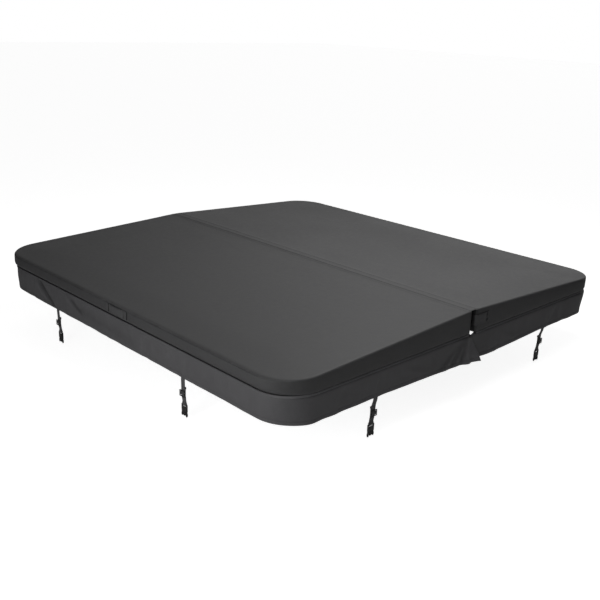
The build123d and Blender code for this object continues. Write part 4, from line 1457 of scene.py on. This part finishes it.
def fold_handle(end):
    """end -1 front, +1 back. The strap starts on the far panel's fold wall, turns the corner and is sewn to its band."""
    # row frame: the front of the cover is at -Y; the node named front is the one whose box lies there
    name = next(n for n in ("fold_handle_front", "fold_handle_back") if (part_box(n)[0].y < 0) == (end < 0))
    blo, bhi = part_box(name)
    zc, width = (blo.z + bhi.z) / 2, (bhi.z - blo.z) - 0.002
    seed = 461 if end < 0 else 483
    # plan centre line (x, distance out from the band plane)
    pts = np.array([(0.0128, -0.0200), (0.0126, -0.0120), (0.0124, -0.0040), (0.0134, 0.0002), (0.0164, 0.0028), (0.0230, 0.0038),
                    (0.0400, 0.0048), (0.0600, 0.0050), (0.0780, 0.0046), (0.0900, 0.0036), (0.0960, 0.0030), (0.1040, 0.0031), (0.1115, 0.0030)])
    seg = np.concatenate([[0], np.cumsum(np.linalg.norm(np.diff(pts, axis=0), axis=1))])
    seg /= seg[-1]
    fine = np.linspace(0, 1, 400)
    path = np.stack([np.interp(fine, seg, pts[:, k]) for k in range(2)], 1)
    for _ in range(60):
        path[1:-1] = (path[:-2] + 2 * path[1:-1] + path[2:]) / 4
    tan = np.gradient(path, axis=0)
    tan /= np.linalg.norm(tan, axis=1)[:, None]
    outn = np.c_[-tan[:, 1], tan[:, 0]]           # (x, out)
    def frame_at(t):
        i = t * 399
        x = np.interp(i, np.arange(400), path[:, 0])
        o_ = np.interp(i, np.arange(400), path[:, 1])
        nx = np.interp(i, np.arange(400), outn[:, 0])
        no = np.interp(i, np.arange(400), outn[:, 1])
        return (x, end * (H + o_), 0.0), (nx, end * no, 0)

    def u_of(t, w):
        x = frame_at(t)[0][0] * 1000
        slack = float(smooth(18, 36, x) * (1 - smooth(74, 94, x)))
        n = vnoise(np.array([[x * 0.12, w * 1.4, 1.0], [x * 0.04, w * 0.9, 4.0]]), seed)
        u = (0.0004 * n[0] + 0.0005 * n[1]) * (0.3 + slack) - 0.0006 * slack * (1 - w * w) - 0.0016 * slack * max(w, 0.0) ** 3
        grip = math.exp(-((x - 93.5) / 2.2) ** 2)
        # two deep tucks at the sewn end
        u -= 0.0027 * grip * (math.exp(-((w - 0.48) / 0.15) ** 2) + math.exp(-((w + 0.42) / 0.15) ** 2))
        u += 0.0006 * math.exp(-((x - 99) / 3.0) ** 2)
        dz = 0.0010 * slack * float(vnoise(np.array([[x * 0.03, 0.0, 9.0]]), seed)[0]) - 0.0012 * slack * w - 0.0006 * grip * w
        return u, dz
    o = strap_sheet(name + "_strap", frame_at, u_of, 70, width, zc, "far_panel", seed, name, HANDLE)
    # painted shade in the two tucks at the sewn end
    shade = []
    for k in range(70):
        x = frame_at(k / 69)[0][0] * 1000
        for j in range(21):
            w = -1 + 2 * j / 20
            g = math.exp(-((x - 93.5) / 5.4) ** 2) * (math.exp(-((w - 0.50) / 0.26) ** 2) + math.exp(-((w + 0.55) / 0.22) ** 2) + 0.22)
            shade.append(g * 2.6)
    set_painted_shading(o, shade)
    outward(o, (0.06, end * 0.95, 0.05))
    subdivide(o, 1)
    solidify(o, 0.0024)
    m = o.modifiers.new("round", "BEVEL")
    m.width = 0.0006
    m.segments = 2
    m.limit_method = "ANGLE"
    m.angle_limit = math.radians(60)
    apply_mods(o)
    set_mat(o, HANDLE)
    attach(o, "far_panel")
    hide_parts(name)
    lines = box_stitch((0.1030, end * (H + 0.0032), zc), (1, 0, 0), (0, 0, 1), (0, end, 0), 0.014, 0.038, 0.0)
    for w in (-0.86, 0.86):
        t = np.linspace(0.22, 0.80, 50)
        P2 = []
        for tt in t:
            p, nrm = frame_at(tt)
            u, dz = u_of(tt, w)
            P2.append((p[0] + nrm[0] * (u + 0.00012), p[1] + nrm[1] * (u + 0.00012), zc + w * width / 2 + dz))
        lines.append((np.array(P2), np.tile([0.0, float(end), 0.0], (50, 1))))
    st = stitch_rows(name + "_stitches", lines, pitch=0.0045, gap=0.0012, radius=0.0004)
    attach(st, "far_panel")


fold_handle(-1)
fold_handle(1)

# ------------------------------------------------------------------ straps
MAIN = [(1.8, -163), (2.0, -169), (3.2, -176.4), (6.0, -179.1), (9.0, -181.4), (9.6, -183), (9.6, -187), (9.0, -188.6), (6.0, -190.9),
        (3.2, -193.4), (0.8, -201), (-1.9, -214), (-3.3, -222), (-0.6, -231), (-0.4, -236), (-1.4, -238.6), (-4.0, -239.7), (-6.6, -238.6), (-7.6, -236),
        (-7.4, -231), (-4.8, -222), (-3.4, -214), (-0.9, -190), (-1.0, -176), (-1.6, -164), (-1.9, -156.5), (-2.5, -155.0), (-3.3, -155.6), (-3.6, -158), (-3.7, -164.5)]


def strap_web(i):
    nrm, at = STRAPS[i]
    side = -1 if at[0] < 0 else 1
    P, nn, S = SKIRT_LINES[side]
    n2 = np.array(nrm, float)
    # stand-off of the skirt where the strap is sewn
    r0 = P[8]
    on = (np.abs((nn[8] * n2).sum(1) - 1) < 1e-6)
    dist = np.where(on, np.hypot(r0[:, 0] - at[0], r0[:, 1] - at[1]), 9)
    c = int(np.argmin(dist))
    zsk = P[:, c, 2]
    usk = (P[:, c, :2] - np.array(at)) @ n2 - 0.0022 - 0.0010
    order = np.argsort(zsk)
    zr = np.linspace(-0.004, -DROP + 0.001, 22)
    ur = np.interp(zr, zsk[order], usk[order])
    ur = np.maximum(ur, -0.0002)
    path = [(u, z) for u, z in zip(ur, zr)]
    uh = ur[-1]
    for z in np.linspace(-DROP - 0.004, -0.157, 6):
        k = float(smooth(-DROP, -0.160, z))
        path.append((uh * (1 - k) + 0.0018 * k, z))
    path += [(u * MM, z * MM) for u, z in MAIN]
    path = np.array(path)
    # resample and round the corners a little
    seg = np.concatenate([[0], np.cumsum(np.linalg.norm(np.diff(path, axis=0), axis=1))])
    n = int(seg[-1] / 0.0012)
    s = np.linspace(0, seg[-1], n)
    line = np.stack([np.interp(s, seg, path[:, k]) for k in range(2)], 1)
    for _ in range(4):
        line[1:-1] = (line[:-2] + 2 * line[1:-1] + line[2:]) / 4
    tan = np.gradient(line, axis=0)
    tan /= np.linalg.norm(tan, axis=1)[:, None]
    nor = np.c_[-tan[:, 1], tan[:, 0]]
    X = np.array([n2[1], -n2[0], 0.0])            # n x z
    Y = np.array([n2[0], n2[1], 0.0])
    Z = np.array([0.0, 0.0, 1.0])
    o3 = np.array([at[0], at[1], 0.0])
    hw, ht = 0.0125, 0.00070
    sec = []
    across = [-1, -0.93, -0.6, -0.2, 0.2, 0.6, 0.93, 1]
    for a in across:
        sec.append((a * hw, ht * (1 if abs(a) < 0.95 else 0.35)))
    for a in across[::-1]:
        sec.append((a * hw, -ht * (1 if abs(a) < 0.95 else 0.35)))
    sec = np.array(sec)
    m = len(sec)
    V, UV = [], []
    nz = vnoise(np.c_[s * 30, np.full(n, i * 3.7), np.zeros(n)], 500 + i)
    nz2 = vnoise(np.c_[s * 12, np.full(n, i * 2.1), np.zeros(n)], 520 + i)
    for k in range(n):
        base = o3 + Y * line[k, 0] + Z * line[k, 1]
        free = float(smooth(-0.120, -0.135, line[k, 1])) * (1 - float(smooth(-0.160, -0.170, line[k, 1]))) if s[k] < 0.18 else 0.0
        ndir = Y * nor[k, 0] + Z * nor[k, 1]
        tw = 0.045 * free * nz2[k]
        for (a, b) in sec:
            cup = 0.0004 * (a / hw) ** 2 * free
            V.append(base + X * a + ndir * (b + cup + a * tw) + X * 0.0002 * nz[k])
            UV.append((a + (0 if b > 0 else 0.0007), s[k]))
    F = grid_quads(n, m, closed=True)
    F.append(tuple(range(m))[::-1])
    F.append(tuple(range((n - 1) * m, n * m)))
    o = new_obj(f"strap_{i}_web", np.array(V), F, uv=np.array(UV))
    bm = bmesh.new(); bm.from_mesh(o.data)
    bmesh.ops.recalc_face_normals(bm, faces=bm.faces)
    bm.to_mesh(o.data); bm.free()
    set_mat(o, WEB)
    a = Vector((at[0], at[1], -DROP + 0.012))
    b = Vector((at[0], at[1], -DROP - 0.012))
    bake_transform(o)
    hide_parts(f"strap_{i}_webbing")
    # box stitch through skirt and webbing, seen from the inside
    inner, outer = [], []
    for zc in (-0.030, -0.090):
        u_in = float(np.interp(zc, zsk[order], usk[order])) - 0.0009
        c_in = o3 + Y * u_in + Z * zc
        inner += box_stitch(c_in, X, Z, -Y, 0.019, 0.022, 0.0)
    st = stitch_rows(f"strap_{i}_box_stitches", inner, pitch=0.0042, gap=0.0012, radius=0.0004)
    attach(st, BODY[side])
    t_z = np.linspace(-0.1565, -0.1565, 2)
    return o


WEBS = {i: strap_web(i) for i in STRAPS}
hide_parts("near_strap_roots")
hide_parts("far_strap_roots")

# ------------------------------------------------------------------ zips on the underside, along the fold
def zip_tape(side):
    tag, body = SIDE[side], BODY[side]
    parts, uvs = [], []
    ny = 160
    Y = np.linspace(-1.025, 1.025, ny)
    for a, b, sgn in ((0.0202, 0.0334, 1), (0.0386, 0.0518, -1)):
        xs = np.linspace(a, b, 9)
        if sgn < 0:
            xs = xs[::-1]
        prof = np.array([0.12, 0.05, 0.0, 0.02, 0.0, 0.03, 0.0, 0.05, 0.35]) * MM   # stiffer bead next to the teeth
        up, dn = [], []
        wv = vnoise(np.c_[Y * 7, np.zeros(ny), np.full(ny, a * 100)], 600 + side)
        for j in range(ny):
            for k, x in enumerate(xs):
                z = -0.00045 - prof[k] * 0.6 + 0.00012 * wv[j]
                up.append((side * x, Y[j], z - 0.00030)); dn.append((side * x, Y[j], z + 0.00030))
        V = np.array(up + dn)
        n = len(xs)
        F = grid_quads(ny, n) + [q[::-1] for q in grid_quads(ny, n, base=ny * n)]
        off = ny * n
        for j in range(ny - 1):
            for k in (0, n - 1):
                a0, a1 = j * n + k, (j + 1) * n + k
                F.append((a0, a1, a1 + off, a0 + off))
        for k in range(n - 1):
            for j in (0, ny - 1):
                a0, a1 = j * n + k, j * n + k + 1
                F.append((a0, a1, a1 + off, a0 + off))
        parts.append((V, F))
        uvs.append(np.c_[np.abs(V[:, 0]), V[:, 1]])
    o = join_meshes(f"{tag}_zip_fabric", parts, uvs)
    bm = bmesh.new(); bm.from_mesh(o.data)
    bmesh.ops.recalc_face_normals(bm, faces=bm.faces)
    bm.to_mesh(o.data); bm.free()
    set_mat(o, ZIPTAPE)
    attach(o, body)
    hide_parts(f"{tag}_zip_tape")
    lines = []
    for x in (0.0222, 0.0318, 0.0402, 0.0498):
        yy = np.linspace(-1.022, 1.022, 60)
        lines.append((np.c_[np.full(60, side * x), yy, np.full(60, -0.00115)], np.tile([0.0, 0.0, -1.0], (60, 1))))
    st = stitch_rows(f"{tag}_zip_stitches", lines, pitch=0.0060, gap=0.0018, radius=0.00035)
    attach(st, body)


def zip_teeth(side):
    """Moulded teeth, meshed along the closed length: each is a small hooked block with a rounded head."""
    tag, body = SIDE[side], BODY[side]
    # tooth outline in (across, along) mm, head toward the other row
    poly = np.array([(-1.9, -0.55), (-0.5, -0.55), (-0.2, -0.30), (0.25, -0.62), (0.75, -0.45), (0.85, 0.0), (0.75, 0.45), (0.25, 0.62), (-0.2, 0.30), (-0.5, 0.55), (-1.9, 0.55)]) * MM
    k = len(poly)
    parts = []
    pitch = 0.0030
    count = int(2.040 / pitch)
    ys = -1.020 + pitch * np.arange(count)
    for row, sgn in ((0, 1), (1, -1)):
        for y in ys + (pitch / 2 if row else 0):
            if y > 1.021:
                continue
            x = 0.036 - sgn * 0.0004 if y < 0.985 else 0.036 - sgn * 0.0004
            v = []
            for z in (-0.0022, -0.0019, -0.0005):
                sc = 0.82 if z == -0.0022 else 1.0
                for (a, b) in poly:
                    v.append((side * (x + sgn * a * sc * 1.0), y + b * sc, z))
            f = []
            for r in range(2):
                f += [(r * k + c, r * k + (c + 1) % k, (r + 1) * k + (c + 1) % k, (r + 1) * k + c) for c in range(k)]
            f.append(tuple(range(k))[::-1])
            f.append(tuple(range(2 * k, 3 * k)))
            parts.append((np.array(v), f))
    o = join_meshes(f"{tag}_zip_chain", parts)
    bm = bmesh.new(); bm.from_mesh(o.data)
    bmesh.ops.recalc_face_normals(bm, faces=bm.faces)
    bm.to_mesh(o.data); bm.free()
    o.data.polygons.foreach_set("use_smooth", np.zeros(len(o.data.polygons), bool))
    set_mat(o, ZIPPL)
    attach(o, body)
    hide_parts(f"{tag}_zip_teeth")


for side in (-1, 1):
    zip_tape(side)
    zip_teeth(side)

# ------------------------------------------------------------------ moulded and metal CAD parts: eased edges
for name, node in frame["nodes"].items():
    if node.hide_render:
        continue
    w = 0.0006
    if "clip" in name:
        w = 0.00075
    elif "pull" in name or "slider" in name:
        w = 0.0004
    elif "channel" in name:
        w = 0.00025
    m = node.modifiers.new("weld", "WELD")
    m.merge_threshold = 0.00001
    m = node.modifiers.new("ease", "BEVEL")
    m.width = w
    m.segments = 2
    m.limit_method = "ANGLE"
    m.angle_limit = math.radians(35)
    m.use_clamp_overlap = True
    m.harden_normals = False
    node.data.polygons.foreach_set("use_smooth", np.zeros(len(node.data.polygons), bool))

# ------------------------------------------------------------------ camera, floor and light
def add_camera():
    cam = bpy.data.cameras.new("view")
    o = bpy.data.objects.new("view", cam)
    bpy.context.scene.collection.objects.link(o)
    pos = Vector((-2767.71, -2864.81, 1236.47)) * MM
    target = Vector((-280.8, -305.1, 0.0)) * MM
    fwd = (target - pos).normalized()
    right = fwd.cross(Vector((0, 0, 1))).normalized()
    up = right.cross(fwd)
    a = 0.0384
    r2 = right * math.cos(a) + up * math.sin(a)
    u2 = -right * math.sin(a) + up * math.cos(a)
    m = Matrix((r2, u2, -fwd)).transposed().to_4x4()
    m.translation = pos
    o.matrix_world = m
    cam.lens = 49.862
    cam.sensor_width = 36.0
    cam.sensor_fit = "HORIZONTAL"
    cam.clip_start = 0.05
    cam.clip_end = 60
    bpy.context.scene.camera = o


def add_floor():
    me = bpy.data.meshes.new("floor")
    s = 30.0
    me.from_pydata([(-s, -s, -0.30), (s, -s, -0.30), (s, s, -0.30), (-s, s, -0.30)], [], [(0, 1, 2, 3)])
    o = bpy.data.objects.new("floor", me)
    bpy.context.scene.collection.objects.link(o)
    m = Nodes("floor_paper")
    m.bsdf.inputs["Base Color"].default_value = (0.86, 0.86, 0.86, 1)
    m.bsdf.inputs["Roughness"].default_value = 0.9
    m.bsdf.inputs["Emission Color"].default_value = (1, 1, 1, 1)
    lp = m.add("ShaderNodeLightPath")
    m.link(m.math("ADD", m.math("MULTIPLY", lp.outputs["Is Camera Ray"], 0.85), 0.02), m.bsdf.inputs["Emission Strength"])
    geo = m.add("ShaderNodeNewGeometry")
    clear = m.add("ShaderNodeBsdfTransparent")
    pick = m.add("ShaderNodeMixShader")
    m.link(m.math("MULTIPLY", geo.outputs["Backfacing"], lp.outputs["Is Camera Ray"]), pick.inputs[0])
    m.link(m.bsdf.outputs[0], pick.inputs[1])
    m.link(clear.outputs[0], pick.inputs[2])
    m.link(pick.outputs[0], m.out.inputs[0])
    me.materials.append(m.mat)


def add_world():
    w = bpy.data.worlds.new("studio")
    bpy.context.scene.world = w
    w.use_nodes = True
    t = w.node_tree
    t.nodes.clear()
    out = t.nodes.new("ShaderNodeOutputWorld")
    mix = t.nodes.new("ShaderNodeMixShader")
    lp = t.nodes.new("ShaderNodeLightPath")
    white = t.nodes.new("ShaderNodeBackground")
    white.inputs[0].default_value = (1, 1, 1, 1)
    white.inputs[1].default_value = 1.0
    lit = t.nodes.new("ShaderNodeBackground")
    tc = t.nodes.new("ShaderNodeTexCoord")

    def lobe(direction, strength, power):
        d = Vector(direction).normalized()
        dot = t.nodes.new("ShaderNodeVectorMath")
        dot.operation = "DOT_PRODUCT"
        t.links.new(tc.outputs["Generated"], dot.inputs[0])
        dot.inputs[1].default_value = d
        mx = t.nodes.new("ShaderNodeMath"); mx.operation = "MAXIMUM"
        t.links.new(dot.outputs["Value"], mx.inputs[0]); mx.inputs[1].default_value = 0.0
        pw = t.nodes.new("ShaderNodeMath"); pw.operation = "POWER"
        t.links.new(mx.outputs[0], pw.inputs[0]); pw.inputs[1].default_value = power
        ml = t.nodes.new("ShaderNodeMath"); ml.operation = "MULTIPLY"
        t.links.new(pw.outputs[0], ml.inputs[0]); ml.inputs[1].default_value = strength
        return ml.outputs[0]

    total = None
    for d, s_, p_ in WORLD_LOBES:
        l = lobe(d, s_, p_)
        if total is None:
            total = l
        else:
            a = t.nodes.new("ShaderNodeMath"); a.operation = "ADD"
            t.links.new(total, a.inputs[0]); t.links.new(l, a.inputs[1])
            total = a.outputs[0]
    base = t.nodes.new("ShaderNodeMath"); base.operation = "ADD"
    t.links.new(total, base.inputs[0]); base.inputs[1].default_value = WORLD_BASE
    t.links.new(base.outputs[0], lit.inputs[1])
    t.links.new(lp.outputs["Is Camera Ray"], mix.inputs[0])
    t.links.new(lit.outputs[0], mix.inputs[1])
    t.links.new(white.outputs[0], mix.inputs[2])
    t.links.new(mix.outputs[0], out.inputs[0])


WORLD_BASE = 0.0
WORLD_LOBES = [((0.94, 0.34, 0.10), 1.205, 10), ((0.7, 0.7, 0.2), 0.544, 4), ((-0.5, -0.3, 0.8), 0.10, 2)]

add_camera()
add_floor()
add_world()
scene = bpy.context.scene
scene.view_settings.view_transform = "Standard"
scene.view_settings.look = "None"
scene.view_settings.exposure = 0.0
scene.view_settings.gamma = 1.0


def add_area(loc, target, size, power):
    l = bpy.data.lights.new("soft", "AREA")
    l.shape = "RECTANGLE"
    l.size, l.size_y = size
    l.energy = power
    o = bpy.data.objects.new("soft", l)
    bpy.context.scene.collection.objects.link(o)
    d = (Vector(target) - Vector(loc)).normalized()
    o.matrix_world = Matrix.Translation(loc) @ d.to_track_quat("-Z", "Y").to_matrix().to_4x4()
    o.visible_camera = False
    return o


add_area((-3.05, -1.2, 0.55), (-1.05, -0.9, 0.0), (0.9, 0.7), 10.4)
add_area((-0.3, -1.3, 1.7), (-0.35, -0.8, 0.1), (1.2, 0.8), 4.4)
add_area((0.3, -0.4, 1.9), (0.2, -0.2, 0.1), (1.2, 0.8), 18.4)
add_area((-2.2, -1.9, 0.8), (-0.7, -1.0, 0.0), (0.8, 0.6), 3.8)
add_area((-2.4, -0.2, -0.12), (-1.05, -0.1, -0.06), (1.5, 0.3), 5.2)
